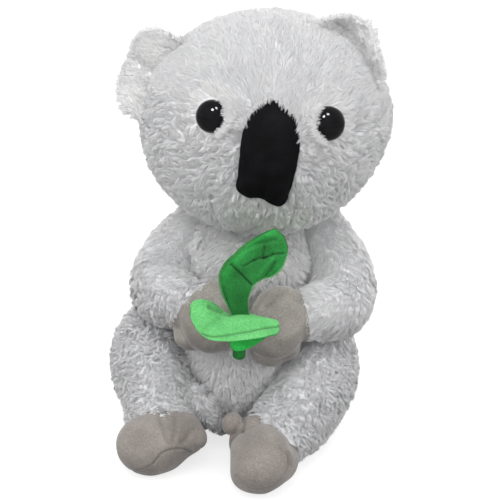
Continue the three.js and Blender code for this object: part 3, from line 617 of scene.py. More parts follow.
def drawn_back(lines, at, way, least=0.25):
    """Locks with each one that would reach past a plane shortened to end there, or to its least share."""
    lines = np.array(lines)
    room = np.maximum((at - lines[0]) @ way, 0.05)
    reach = np.maximum((lines[-1] - lines[0]) @ way, 1e-6)
    share = np.where(reach > room, np.maximum(room / reach, least), 1.0)
    return list(lines[0] + (lines - lines[0]) * share[None, :, None])


# Locks of pile: tapered three-sided curls. calm is 0 where they draw together into curly tufts, and 1
# where they lie brushed and even.
STATION_SHARES = np.array([0.0, 0.42, 0.78, 1.0])
RADIUS_SHARES = np.array([1.0, 0.92, 0.58])
LOCK_POINTS = 3 * len(RADIUS_SHARES) + 1
LOCK_RADIUS, WISP_RADIUS = 0.28, 0.2
LOCK_WIDE, LOCK_HIGH = 1.3, 0.75

# How far the calm and the lie of the pile waver, and over what distance
CALM_WAVER, CALM_WAVE = 0.12, 16.0
SWIRL, SWIRL_WAVE = 1.2, 22.0

# Depths: of a root in the cloth, of the cloth under the pile, how much less where it is calm, and how deep
# in another form a root may be. Then the lumps of the cloth, and the least gaps over the floor.
ROOT_DEPTH, PILE_DEPTH, CALM_DEPTH, BURIED = 0.8, 3.5, 1.3, 7
LUMP_HEIGHT, LUMP_SIZE = 0.5, 11.0
FLOOR_GAP, CLOTH_GAP, FOOT_GAP = 0.25, 1.2, 0.1

# Colours of the pile, the shade of a lock's root, and the painted shade on the cloth below the pile
ROOT_SHADE, CLOTH_SHADE = 0.84, 0.83
GREY = (0.84, 0.84, 0.852)
# the legs' grey: the same fur as GREY, made darker as painted shade on the low, shaded legs
LEG_GREY = (0.785, 0.785, 0.80)
WHITE = (0.975, 0.98, 0.965)


def along_skin(ways, normals):
    """The part of each way that runs along the skin."""
    return ways - normals * np.einsum("ij,ij->i", ways, normals)[:, None]


def pile(skin, flow_of, keep_of, colour_of, seed, calm_of, height=3.2, length=4.4, spacing=0.86,
         tuft=3.4, gather=0.6, curl=1.1, wild=0.5, roundness=0.6, lean=None, stop=None):
    """The locks over a skin. flow_of(places) gives the way that the pile lies, keep_of(places) which roots
    stay, and colour_of(places) the colour at the tips. Locks within a tuft's width gather and curl
    together, wild is how far tufts stray from the flow, and stop is a plane that no lock passes."""
    points, faces = skin
    rng = np.random.default_rng(seed)
    roots, normals = scatter(points, faces, spacing / math.sqrt(DENSE), seed)
    keep = keep_of(roots)
    roots, normals = roots[keep], normals[keep]
    centres, centre_normals = scatter(points, faces, tuft, seed + 1)
    near = keep_of(centres)
    if near.any():
        centres, centre_normals = centres[near], centre_normals[near]
    owner = nearest_of(roots, centres)
    calm = np.clip(calm_of(roots) + CALM_WAVER * wave_noise(roots, CALM_WAVE, seed + 5), 0, 1)
    centre_calm = np.clip(calm_of(centres), 0, 1)

    # The tuft that each lock belongs to bends one way as a whole
    flow = unit(along_skin(flow_of(centres), centre_normals))
    side = np.cross(centre_normals, flow)
    swirl = SWIRL * wave_noise(centres, SWIRL_WAVE, seed + 2) + rng.normal(0, wild, len(centres))
    swirl *= 1 - 0.72 * centre_calm
    flow = flow * np.cos(swirl)[:, None] + side * np.sin(swirl)[:, None]
    stretch = rng.uniform(0.75, 1.2, len(centres))
    stand = rng.uniform(0.75, 1.12, len(centres))
    bend = rng.normal(0, 1, len(centres)) * curl * (1 - 0.8 * centre_calm)
    twist = rng.uniform(0, 2 * math.pi, len(centres))
    tuft_shade = rng.uniform(0.965, 1.02, len(centres))

    n = normals
    f = unit(along_skin(flow[owner], n))
    s = np.cross(n, f)
    offset = along_skin(roots - centres[owner], n)
    own = rng.normal(0, 0.3, (len(roots), 3))
    pull = gather * (1 - 0.85 * calm)
    reach = stretch[owner] * rng.uniform(0.85, 1.1, len(roots)) * length * (1 + 0.15 * calm)
    lift = 1 - (1 - stand[owner] * rng.uniform(0.92, 1.08, len(roots))) * (1 - 0.6 * calm)
    lift *= height * (1 - 0.42 * calm)
    lines = []
    for t in STATION_SHARES:
        up_part = lift * (1 - (1 - t) ** 1.9) - ROOT_DEPTH * (1 - t)
        wave = bend[owner] * np.sin(math.pi * t * 1.3 + 0.6 * np.sin(twist[owner])) * t
        line = (roots + n * up_part[:, None] + f * (reach * t ** 1.35)[:, None] + s * wave[:, None]
                - offset * (pull * t ** 1.4)[:, None] + own * t)
        lines.append(line)
    if stop is not None:
        lines = drawn_back(lines, *stop)
    thick = LOCK_RADIUS / math.sqrt(DENSE) * rng.uniform(0.8, 1.25, len(roots))
    bulge = n + offset * ((1 - calm) / tuft)[:, None]
    if lean is not None:
        bulge = bulge * 0.3 + lean
    bulge = unit(bulge)
    colours = colour_of(roots) * tuft_shade[owner][:, None]
    return lock_mesh(lines, thick, n, bulge, colours, rng, roundness)


def lock_mesh(lines, thick, normals, facing, colours, rng, roundness=0.6):
    """Locks along their lines, shaded as if each were as round as roundness says about the facing way."""
    count = len(thick)
    rings, turned = [], []
    for k in range(len(lines) - 1):
        along = unit(lines[min(k + 1, len(lines) - 1)] - lines[max(k - 1, 0)])
        across = unit(np.cross(along, normals))
        rise = np.cross(across, along)
        for corner in range(3):
            angle = 2 * math.pi * corner / 3 + math.pi / 2
            way = across * math.cos(angle) * LOCK_WIDE + rise * math.sin(angle) * LOCK_HIGH
            rings.append(lines[k] + way * (thick * RADIUS_SHARES[k])[:, None])
            turned.append(unit(roundness * way + facing))
    rings.append(lines[-1])
    turned.append(unit(facing))
    per = len(rings)
    points = np.stack(rings, axis=1).reshape(-1, 3)
    point_ways = np.stack(turned, axis=1).reshape(-1, 3)
    points[:, 2] = np.maximum(points[:, 2], FLOOR_GAP)
    bands = len(lines) - 2
    one = [(0, 2, 1)]
    for k in range(bands):
        for c in range(3):
            a, b = k * 3 + c, k * 3 + (c + 1) % 3
            one += [(a, b, b + 3), (a, b + 3, a + 3)]
    for c in range(3):
        one.append((bands * 3 + c, bands * 3 + (c + 1) % 3, per - 1))
    one = np.array(one)
    faces = (one[None] + (np.arange(count) * per)[:, None, None]).reshape(-1, 3)
    points, faces = facing_out(points, faces)

    # Darker at the root, and each lock a little lighter or darker than its neighbours
    along_share = np.concatenate([np.repeat(STATION_SHARES[:-1], 3), [1.0]])
    depth = ROOT_SHADE + (1 - ROOT_SHADE) * along_share ** 0.7
    own = rng.uniform(0.97, 1.02, count)
    tint = colours[:, None, :] * depth[None, :, None] * own[:, None, None]
    side = int(math.ceil(math.sqrt(count)))
    cell = np.stack([np.arange(count) % side, np.arange(count) // side], axis=1) / side
    corner_u = np.concatenate([np.tile([0.15, 0.5, 0.85], bands + 1), [0.5]])
    corner_v = 0.1 + 0.8 * along_share
    uv = cell[:, None, :] + np.stack([corner_u, corner_v], axis=1)[None] / side
    return points, faces, tint.reshape(-1, 3), uv.reshape(-1, 2), point_ways


def outside(points, forms, margin):
    """Which points aren't deeper than the margin inside any of the forms."""
    keep = np.ones(len(points), bool)
    for form in forms:
        keep &= form.distance(points) > -margin
    return keep


def on_floor(skin, gap):
    """A skin whose lowest points are flattened a little over the floor."""
    points, faces = skin
    return np.column_stack([points[:, :2], np.maximum(points[:, 2], gap)]), faces


def inset(skin, calm_of):
    """A skin moved in by the height of its pile, with a gently uneven surface."""
    points, faces = skin
    depth = PILE_DEPTH - CALM_DEPTH * np.clip(calm_of(points), 0, 1)
    lumps = wave_noise(points, LUMP_SIZE, 5) * LUMP_HEIGHT
    return on_floor((points + point_normals(points, faces) * (lumps - depth)[:, None], faces), CLOTH_GAP)


def painted_neck_shade_and_shoulder_light(colour, painted_shoulder_light=0.0):
    """A colour with painted shade in the crease under the head, and painted light a little up towards the
    shoulders.
    """
    def shade(places):
        # painted shade near the head, where it shades the neck crease, and painted light higher up on the
        # shoulders, which the head shades
        deep = 0.78 + 0.22 * smooth_step(HEAD.distance(places), 3, 14)
        return np.asarray(colour) * (deep * (1 + painted_shoulder_light * smooth_step(places[:, 2], 105, 135)))[:, None]
    return shade


def even(colour):
    return lambda places: np.tile(np.asarray(colour, float), (len(places), 1))


def constant(value):
    return lambda places: np.full(len(places), value)


def dress(piece, body, replaces=()):
    """A piece hung on its body's empty, with the parts that it replaces hidden."""
    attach(piece, body)
    if replaces:
        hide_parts(*replaces)


def cloth_piece(name, skin, material, colour, body, replaces):
    points, faces = skin
    # the cloth darkened by painted shade, as the pile above it would shade it
    tint = np.tile(np.asarray(colour) * CLOTH_SHADE, (len(points), 1))
    dress(mesh_object(name, points, faces, material, tint), body, replaces)


def pile_pieces(name, made, material, body, replaces=(), most=190_000):
    """The pile as one or more pieces, none with more faces than the limit."""
    points, faces, tint, uv, ways = made
    count = len(points) // LOCK_POINTS
    per_faces = len(faces) // count
    parts = max(1, math.ceil(len(faces) / most))
    edges = np.linspace(0, count, parts + 1).astype(int)
    for k in range(parts):
        low, high = edges[k], edges[k + 1]
        span = slice(low * LOCK_POINTS, high * LOCK_POINTS)
        part = mesh_object(
            name if parts == 1 else f"{name}_{k + 1}", points[span],
            faces[low * per_faces:high * per_faces] - low * LOCK_POINTS,
            material, tint[span], uv[span], ways[span])
        dress(part, body, replaces if k == 0 else ())


# Torso and its white panel, which leans a little. The rises and half widths run up the panel's edge.
PANEL_MIDDLE, PANEL_TOP, PANEL_FRONT, PANEL_LEAN = 3, 153, -19, math.radians(4)
PANEL_RISES = [32.99, 33, 41.4, 58.2, 93, 129, 153, 153.01]
PANEL_HALVES = [0, 7.4, 14.1, 24.4, 34.4, 37, 37, 0]


def in_panel(places, margin):
    x = places[:, 0] - PANEL_MIDDLE
    z = places[:, 2] - PANEL_TOP
    across = x * math.cos(PANEL_LEAN) - z * math.sin(PANEL_LEAN)
    high = x * math.sin(PANEL_LEAN) + z * math.cos(PANEL_LEAN) + PANEL_TOP
    half = np.interp(high, PANEL_RISES, PANEL_HALVES)
    return (np.abs(across) < half + margin) & (places[:, 1] < PANEL_FRONT)


def torso_calm(places):
    return 0.55 * smooth_step(places[:, 2], 75, 125)


def down_flow(places):
    return np.array([0, 0, -1.0]) + unit(places * np.array([1, 1, 0])) * 0.2


torso_skin = inset(TORSO.mesh(), torso_calm)
cloth_piece("torso_cloth", torso_skin, GREY_FUR, GREY, "torso",
            ["torso_skin", "torso_fill", "seat_pellet_bag"])
on_torso = [HEAD, *ARMS.values(), *LEGS.values()]
torso_pile = pile(
    torso_skin, down_flow,
    lambda p: outside(p, on_torso, BURIED) & ~in_panel(p, -1) & (p[:, 2] > 4),
    painted_neck_shade_and_shoulder_light(GREY), seed=11, calm_of=torso_calm)
pile_pieces("torso_pile", torso_pile, GREY_FUR, "torso")
panel_pile = pile(
    torso_skin, down_flow, lambda p: outside(p, on_torso, BURIED) & in_panel(p, 1),
    painted_neck_shade_and_shoulder_light(WHITE), seed=12, calm_of=constant(0.5), height=4.6, length=5.0, spacing=0.78, roundness=0.8)
pile_pieces("belly_panel_pile", panel_pile, WHITE_FUR, "torso", ["belly_panel"])


# Head: brushed over the crown, curly over the cheeks and the chin
def head_calm(places):
    wander = 6 * wave_noise(places, 45.0, 61)
    return 0.12 + 0.88 * smooth_step(places[:, 2] + wander, 228, 262)


head_skin = inset(HEAD.mesh(120, 200), head_calm)
NOSE_AT, NOSE_SIDE, NOSE_RISE, NOSE_OUT = NOSE_SPOT


def off_face(flat, out):
    """Points from flat places across the nose's front, and how far out of the face each is."""
    return (NOSE_AT + np.outer(flat[:, 0], NOSE_SIDE) + np.outer(flat[:, 1], NOSE_RISE)
            + np.outer(out, NOSE_OUT))


def over_head(flat, steps=14):
    """How far out the head's surface is at flat places across the nose's front."""
    low, high = np.full(len(flat), -60.0), np.full(len(flat), 20.0)
    for _ in range(steps):
        middle = (low + high) / 2
        inner = HEAD.distance(off_face(flat, middle)) < 0
        low, high = np.where(inner, middle, low), np.where(inner, high, middle)
    return (low + high) / 2


# Nose: a velour shield, narrow at the top and with two lobes at the bottom
NOSE_OUTLINE = [
    (3.5, 34.7), (-3.4, 32.5), (-8.7, 29.2), (-12.6, 24.9), (-14.7, 19.3), (-16.9, 11.7), (-18.4, 2.9),
    (-20.1, -11.8), (-21.3, -20.4), (-18.4, -25.5), (-13.8, -28.5), (-7.9, -28.8), (-2.8, -31.8),
    (2.4, -34.9), (6.5, -35.3), (10.4, -30.4), (11.9, -25.2), (14.4, -17.4), (16.7, -9.2), (18.7, 2.5),
    (19.1, 14.0), (17.6, 21.8), (14.1, 26.5), (9.6, 31.5),
]


def closed_curve(points, count):
    """A smooth loop through the points."""
    points = np.asarray(points, float)
    wrapped = np.vstack([points[-3:], points, points[:4]])
    place = np.linspace(0, len(points), count, endpoint=False) + 3
    i = place.astype(int)
    w = (place - i)[:, None]
    p0, p1, p2, p3 = (wrapped[i + k] for k in (-1, 0, 1, 2))
    return 0.5 * (2 * p1 + (p2 - p0) * w + (2 * p0 - 5 * p1 + 4 * p2 - p3) * w ** 2
                  + (3 * p1 - p0 - 3 * p2 + p3) * w ** 3)


NOSE_EDGE = closed_curve(NOSE_OUTLINE, 180)
NOSE_MIDDLE = np.array([-1.0, 2.0])
NOSE_HEIGHT, NOSE_SINK = 13.5, 0.6
CREASE_DEPTH, CREASE_ACROSS, CREASE_WIDTH = 1.4, -4.5, 1.6


def nose_share(places):
    """0 at the middle of the nose and 1 at its rim, seen from the front; 9 behind the face."""
    d = places - NOSE_AT
    flat = np.stack([d @ NOSE_SIDE, d @ NOSE_RISE], axis=1) - NOSE_MIDDLE
    edge = NOSE_EDGE - NOSE_MIDDLE
    edge_angle = np.arctan2(edge[:, 1], edge[:, 0])
    order = np.argsort(edge_angle)
    reach = np.interp(np.arctan2(flat[:, 1], flat[:, 0]), edge_angle[order],
                      np.linalg.norm(edge, axis=1)[order], period=2 * math.pi)
    share = np.linalg.norm(flat, axis=1) / reach
    return np.where(d @ NOSE_OUT < -45, 9.0, share)


def nose_dome(share):
    return NOSE_HEIGHT * (1 - share ** 2.7) ** 0.62


def nose_mesh():
    rings = []
    for share in np.concatenate([np.linspace(0.04, 0.9, 34), [0.94, 0.97, 0.99, 1.0]]):
        flat = NOSE_MIDDLE + (NOSE_EDGE - NOSE_MIDDLE) * share
        crease = CREASE_DEPTH * np.exp(-((flat[:, 0] - CREASE_ACROSS) / CREASE_WIDTH) ** 2)
        crease *= smooth_step(-flat[:, 1], 12, 25)
        rings.append(off_face(flat, over_head(flat) - NOSE_SINK + nose_dome(share) - crease))
    for share, back in ((1.0, 3.0), (0.6, 3.5), (0.1, 3.5)):
        flat = NOSE_MIDDLE + (NOSE_EDGE - NOSE_MIDDLE) * share
        rings.append(off_face(flat, over_head(flat) - back))
    return uneven(closed_grid(rings), amount=0.3, size=15.0, seed=3)


dress(mesh_object("nose_velour", *nose_mesh(), VELOUR), "head", ["nose"])


def wisps(lines, out, colour, rng):
    """Fine locks that lie over an edge."""
    thick = (WISP_RADIUS / math.sqrt(DENSE)) * rng.uniform(0.7, 1.2, len(lines[0]))
    normals = np.tile(out, (len(lines[0]), 1))
    return lock_mesh(lines, thick, normals, normals, even(colour)(lines[0]), rng)


def nose_fringe():
    """Locks of the brow that lie over the upper edge of the nose."""
    rng = np.random.default_rng(73)
    top = NOSE_EDGE[NOSE_EDGE[:, 1] > 19 - 0.5 * np.maximum(NOSE_EDGE[:, 0], 0)]
    count = int(420 * DENSE)
    edge = top[rng.integers(0, len(top), count)] + rng.normal(0, 0.3, (count, 2))
    inward = unit(NOSE_MIDDLE + np.array([0, 6]) - edge)
    more = 0.6 + 0.6 * smooth_step(edge[:, 0], 4, 12)
    root = edge - inward * rng.uniform(0.6, 2.8, count)[:, None]
    lobes = 1.3 * (0.5 + 0.5 * np.sin(edge[:, 0] * 1.3 + edge[:, 1] * 0.9)) + rng.uniform(-0.2, 0.6, count)
    tip = edge + inward * (lobes * more)[:, None] + rng.normal(0, 0.4, (count, 2))
    lines = []
    for t in STATION_SHARES:
        flat = root + (tip - root) * t
        dome = nose_dome(np.minimum(nose_share(off_face(flat, np.zeros(count))), 1)) - NOSE_SINK
        lift = np.maximum(dome + 0.45, 2.6 * t - 1.2 * (1 - t))
        lines.append(off_face(flat, over_head(flat) + lift))
    return wisps(lines, NOSE_OUT, GREY, rng)


pile_pieces("nose_fringe", nose_fringe(), GREY_FUR, "head")


def head_flow(places):
    """The pile of the head is brushed away from the top of the nose, and falls towards the chin."""
    away = unit(places - (NOSE_AT + np.array([0, 12, 6])))
    low = smooth_step(-(places[:, 2] - 205), 0, 40)[:, None]
    return away + np.array([0, 0, -0.5]) * low


def oval_share(spot, places, half_width, half_height):
    """0 at a place on the head and 1 on an oval round it; more than 9 behind the face."""
    at, sideways, rising, out = spot
    d = places - at
    return np.hypot(d @ sideways / half_width, d @ rising / half_height) + (d @ out < -40) * 9


PATCH_HALF, MUZZLE_HALF = (18, 21), (31, 25)
NOSE_CLEAR_SHARE, EYE_CLEAR = 0.96, 11.3
SEAM_LINE = [(20.7, 156), (21, 140), (19.6, 122)]
# The line on the chin along which painted shade and a painted green reflection of the leaf fall
PAINTED_CHIN_SHADE_LINE = [(-8, 26), (14, 22), (34, 26)]


def seam_and_painted_chin_shade(colour):
    """The colour of the head's pile, faintly darker along the seam down its forehead, and darkened on the
    chin by painted shade, tinted green as a painted reflection of the leaf below it."""
    def shade(places):
        flat, front = seen(places), places[:, 1] < -20
        near = near_line(flat, SEAM_LINE, 0.9)
        # painted shade on the chin, tinted green as a painted reflection of the leaf
        painted_chin_shade = near_line(flat, PAINTED_CHIN_SHADE_LINE, 9) * front
        plain = np.asarray(colour) * (1 - 0.12 * near * front)[:, None]
        return plain * (1 - painted_chin_shade[:, None] * np.array([0.14, 0.07, 0.16]))
    return shade


def head_region(places):
    """0 for the grey skin, 1 and 2 for the patches of the left and the right eye, 3 for the muzzle."""
    wobble = 0.12 * wave_noise(places, 7.0, 77)
    region = np.zeros(len(places), int)
    for k, (spot, half) in enumerate([
        (EYE_SPOTS["left"], PATCH_HALF), (EYE_SPOTS["right"], PATCH_HALF), (MUZZLE_SPOT, MUZZLE_HALF),
    ]):
        region[oval_share(spot, places, *half) + wobble < 1] = k + 1
    return region


def clear_of_face(places):
    """Roots that neither an eye nor the nose stands on."""
    keep = nose_share(places) > NOSE_CLEAR_SHARE
    for spot in EYE_SPOTS.values():
        keep &= oval_share(spot, places, EYE_CLEAR, EYE_CLEAR) > 1
    return keep


cloth_piece("head_cloth", head_skin, GREY_FUR, GREY, "head", ["head_skin", "head_fill"])
by_head = [TORSO, *ARMS.values()]
for region, (name, colour, material, slot, node) in enumerate([
    ("head_pile", GREY, GREY_FUR, "grey_fur", None),
    ("eye_patch_left_pile", WHITE, WHITE_FUR, "white_fur", "eye_patch_left"),
    ("eye_patch_right_pile", WHITE, WHITE_FUR, "white_fur", "eye_patch_right"),
    ("muzzle_pile", WHITE, WHITE_FUR, "white_fur", "muzzle_panel"),
]):
    made = pile(
        head_skin, head_flow,
        lambda p, r=region: (head_region(p) == r) & clear_of_face(p) & outside(p, by_head, BURIED),
        seam_and_painted_chin_shade(colour), seed=21, calm_of=head_calm)
    pile_pieces(name, made, material, "head", [node] if node else ())


# Eyes: domes that sink into the pile
EYE_SCALE = {"left": 1.07, "right": 1.03}
EYE_RADIUS, EYE_HEIGHT, EYE_SINK = 10.2, 8.6, 1.4
EYE_SHANK = [(0.3, -9.0), (2.2, -9.0), (2.2, -5.0), (6.0, -4.6), (9.2, -4.2), (EYE_RADIUS, -3.0)]


def eye_mesh(spot, scale):
    at, sideways, rising, out = spot
    angle = np.linspace(0, math.pi / 2, 30)[1:-1]
    dome = np.column_stack([np.cos(angle) * EYE_RADIUS, np.sin(angle) * EYE_HEIGHT - EYE_SINK])
    radius, high = np.vstack([EYE_SHANK, dome, (0.15, EYE_HEIGHT - EYE_SINK)]).T
    return oval_rings(at + out * high[:, None], sideways, rising, radius * scale, radius * scale, 72)


def eye_wisps(side):
    """A fringe of white locks that lies over the edge of the eye on the side of the nose."""
    at, sideways, rising, out = EYE_SPOTS[side]
    rng = np.random.default_rng(71 if side == "left" else 72)
    count = int(460 * DENSE)
    inner = math.pi if side == "left" else 0.0
    angle = inner + rng.uniform(-1.25, 1.25, count)
    radial = sideways[None] * np.cos(angle)[:, None] + rising[None] * np.sin(angle)[:, None]
    root_reach = rng.uniform(11.5, 15.0, count)
    lobes = 1.4 + 1.3 * (0.5 + 0.5 * np.sin(angle * 5 + 0.6)) + rng.uniform(0, 1.4, count)
    tip_reach = root_reach - lobes * np.cos((angle - inner) * 0.8)
    level = rng.uniform(0.2, 1.0, count)
    clump = 0.6 * np.sin(angle * 5 + 1.0)
    lines = []
    for t in STATION_SHARES:
        reach = root_reach + (tip_reach - root_reach) * t
        rim = np.minimum(reach, EYE_RADIUS) / EYE_RADIUS
        dome = EYE_HEIGHT * np.sqrt(np.maximum(1 - rim ** 2, 0)) - EYE_SINK
        lift = np.maximum(dome + 0.7, 0.2 + 2.6 * t) + level * t - 2.4 * (1 - t) ** 2
        sway = clump * t + rng.normal(0, 0.45, count) * t
        across = np.cross(out, radial)
        lines.append(at + radial * reach[:, None] + across * sway[:, None] + out * lift[:, None])
    return wisps(lines, out, WHITE, rng)


for side in SIDES:
    dome = mesh_object(f"eye_dome_{side}", *eye_mesh(EYE_SPOTS[side], EYE_SCALE[side]), EYE_GLOSS)
    dress(dome, "head", [f"eye_{side}"])
    pile_pieces(f"eye_wisps_{side}", eye_wisps(side), WHITE_FUR, "head")
    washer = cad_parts[f"eye_washer_{side}"]
    washer.data.materials.clear()
    washer.data.materials.append(WASHER)


# Ears: two layers sewn round the rim, cupped forwards
EAR_AZIMUTH = {"left": 84, "right": -92}
EAR_ELEVATION = {"left": 44, "right": 29}
EAR_TWIST = {"left": -12, "right": 10}
EAR_LEAN = {"left": -19, "right": 23}
EAR_RIM = 0.3


def ear_mesh(side, inner, outer):
    """One layer of an ear, cupped across its width. inner and outer are how far its faces stand off the
    ear's middle. Also a place at its root, and the ways up the ear and out of its face."""
    at, _, rising, out = head_spot(EAR_AZIMUTH[side], EAR_ELEVATION[side])
    width = turn(out, EAR_TWIST[side]) @ rising
    face = unit(np.cross(width, out) * -SIDES[side])
    lean = math.radians(EAR_LEAN[side])
    way = out * math.cos(lean) - face * math.sin(lean)
    spine = [at - out * EAR_ROOT, at, at + way * EAR_LENGTH]
    t = np.concatenate([[0, 0.25], 0.5 + 0.5 * np.sin(np.linspace(0, math.pi / 2, 26))])
    middle, along = curve_through(spine, t), way_along(spine, t)
    across = unit(np.cross(along, face))
    rise = np.cross(across, along)
    tip = np.maximum(t * 2 - 1, 0)
    round_share = np.maximum(1 - tip ** EAR_ROUNDNESS, 0) ** (1 / EAR_ROUNDNESS)
    half = EAR_HALF_WIDTH * np.maximum(round_share, 0.06)
    share = -np.cos(np.linspace(0, math.pi, 41))
    swell = inner + (outer - inner) * np.maximum(np.sqrt(np.maximum(1 - share ** 2, 0)), EAR_RIM)

    def row(offset):
        lift = EAR_CUP * share[None, :] ** 2 * half[:, None] + offset
        return (middle[:, None, :] + across[:, None, :] * (share[None, :] * half[:, None])[..., None]
                + rise[:, None, :] * lift[..., None])
    rings = np.concatenate([row(swell[None, :]), row(inner)[:, ::-1]], axis=1)
    return closed_grid(rings), at, way, face


# Each ear's hollow: a line as seen from the front, its depth, its width, and how dark the painted shade in
# it is
EAR_HOLLOWS_WITH_PAINTED_SHADE = {
    "right": [([(-77, 133), (-73, 130), (-69, 126)], 2.0, 4.0, 0.2)],
    "left": [([(63, 157), (72, 150), (80, 140)], 1.5, 3.0, 0.12)],
}
EAR_NUDGES = {
    "right": [((-84, 146), (-0.8, 0.6), 3.4, 15), ((-96, 106), (0.9, 0.1), 3.0, 11)],
    "left": [((93, 140), (-0.95, -0.1), 3.2, 16), ((52, 164), (0.9, -0.5), 4.0, 10)],
}


def nudged(points, nudges):
    """The points moved a little across the view near each place, to sit as the real ones do."""
    flat = seen(points)
    for at, (right, up), amount, reach in nudges:
        near = np.exp(-(np.linalg.norm(flat - np.asarray(at, float), axis=1) / reach) ** 2)
        points = points + (RIGHT * right + UPWARD * up) * (amount * near)[:, None]
    return points


def painted_ear_shade(colour, side):
    """The colour of an ear's pile, with painted shade in its hollow and down where the ear meets the head.
    """
    def shade(places):
        # painted shade where the ear meets the head, and in the ear's hollow
        deep = 0.84 + 0.16 * smooth_step(HEAD.distance(places), 0, 10)
        for line, _, width, dark in EAR_HOLLOWS_WITH_PAINTED_SHADE[side]:
            deep = deep * (1 - dark * near_line(seen(places), line, width))
        return np.asarray(colour) * deep[:, None]
    return shade


for side in SIDES:
    for layer, (inner, outer, colour, material, slot) in {
        "front": (0.15, 3.0, WHITE, WHITE_FUR, "white_fur"),
        "back": (-0.15, -2.2, GREY, GREY_FUR, "grey_fur"),
    }.items():
        skin, at, way, face = ear_mesh(side, inner, outer)
        skin, _ = pressed_with_seams_and_painted_shade((nudged(skin[0], EAR_NUDGES[side]), skin[1]), EAR_HOLLOWS_WITH_PAINTED_SHADE[side])
        node, body = f"ear_{side}_{layer}", f"ear_{side}"
        cloth_piece(f"{node}_cloth", skin, material, colour, body, [node])
        made = pile(
            skin, lambda p, w=way, c=at: unit(p - c) * 0.6 + w,
            lambda p: HEAD.distance(p) > -3.0, painted_ear_shade(colour, side), seed=31, calm_of=constant(0.8),
            height=3.0, length=3.8, roundness=1.0, lean=way + face * 0.8)
        pile_pieces(f"{node}_pile", made, material, body)


# Arms: fur down to the wrist, and a suede paw over the end. Marks on the paws and feet are lines as seen
# from the front, with their depth, their width and how dark they are: seams in dark thread, creases and
# hollows in painted shade, and ridges in painted light where the darkness is negative.
def arm_calm(side):
    def calm(places):
        wander = 5 * wave_noise(places, 40.0, 62)
        if side == "left":
            return 0.35 + 0.6 * smooth_step(places[:, 2] + wander, 85, 112)
        return 0.05 + 0.9 * smooth_step(places[:, 2] + wander, 104, 130)
    return calm


PAW_MARKS = {
    "left": [
        ([(25.2, -28.7), (21, -30.8), (15.4, -35), (11.2, -39.2)], 1.5, 1.6, 0.16),
        ([(18.2, -25.9), (12.6, -29.4), (7.7, -34.3), (4.2, -40.6)], 1.0, 1.8, 0.14),
        ([(21.7, -28), (14.7, -32.2), (8.4, -37.8), (5.6, -44.8)], -0.8, 1.5, -0.05),
    ],
    "right": [([(-36, -24), (-31, -31), (-27, -38)], 0.6, 2.5, 0.06)],
}
HAND_HEELS = {
    "left": [Egg((30, -67, 87), (13, 12, 12)), Egg((22, -69, 82), (13, 12, 11))],
    "right": [Egg((-31, -68, 89), (13, 12, 12))],
}
WRIST_DROOP = {"left": 13, "right": 36}
WRIST_GAP = 0.8
PAW_TINT = np.array([0.955, 0.98, 0.945])


def painted_underside_shade(points, faces, strength):
    """Painted shade: how much darker the suede is made where it faces down."""
    low = np.maximum(-point_normals(points, faces)[:, 2], 0)
    return (1 - strength * low)[:, None]


for side in SIDES:
    sign = SIDES[side]
    calm = arm_calm(side)
    wrist = arm_place(sign, 0.6, 0.86, 0.88)
    droop = math.radians(WRIST_DROOP[side])
    hand = unit(np.array([-sign * math.cos(droop), -0.25, -math.sin(droop)]))
    heels = [heel.mesh(40, 60) for heel in HAND_HEELS[side]]
    whole_arm = grown_together(
        [ARMS[side].mesh(), PAWS[side].mesh(60, 90)] + heels, cell=0.9, smoothing=16)
    sleeve_skin = cut_flat(inset(whole_arm, calm), wrist - hand * 0.5, hand)
    cloth_piece(f"arm_{side}_cloth", sleeve_skin, GREY_FUR, GREY, "arms",
                [f"arm_{side}_sleeve", f"arm_{side}_fill"])

    made = pile(
        sleeve_skin, lambda p: ARMS[side].along_at(p) + np.array([0, 0, -0.45]),
        lambda p: ((p - wrist) @ hand < -WRIST_GAP) & outside(p, [TORSO, HEAD], BURIED),
        painted_neck_shade_and_shoulder_light(GREY, painted_shoulder_light=0.17), seed=41, calm_of=calm, length=3.8, tuft=2.9, gather=0.5, curl=1.3,
        wild=0.8, roundness=0.4, stop=(wrist + hand * WRIST_GAP, hand))
    pile_pieces(f"arm_{side}_pile", made, GREY_FUR, "arms")

    hand_skin = (whole_arm[0] - point_normals(*whole_arm) * 0.4, whole_arm[1])
    paw = grown_together([cut_flat(hand_skin, wrist - hand * 2, -hand)], cell=0.65, smoothing=5)
    paw, tone = pressed_with_seams_and_painted_shade(uneven(paw, amount=0.5, size=18.0, seed=8), PAW_MARKS[side])
    # the paw's suede darkened by painted shade where it faces down
    dress(mesh_object(f"paw_{side}_suede", *paw, SUEDE, tone * painted_underside_shade(*paw, 0.75) * PAW_TINT), "arms",
          [f"paw_{side}"])


# Legs and feet
TOES = {
    "left": [Egg((2.0, -90, 36.8), (7.0, 7.0, 7.2)),
             Egg((15, -89.5, 25.5), (12.5, 11, 18), turn((0, 1, 0), 10))],
    "right": [Egg((-24, -91, 22.5), (9.5, 10, 10.5)), Egg((-32, -94, 24), (13.5, 13, 13))],
}
THIGH_LOBES = {"left": [], "right": [Egg((-20, -63, 33), (10.5, 11, 25), turn((0, 1, 0), -37))]}
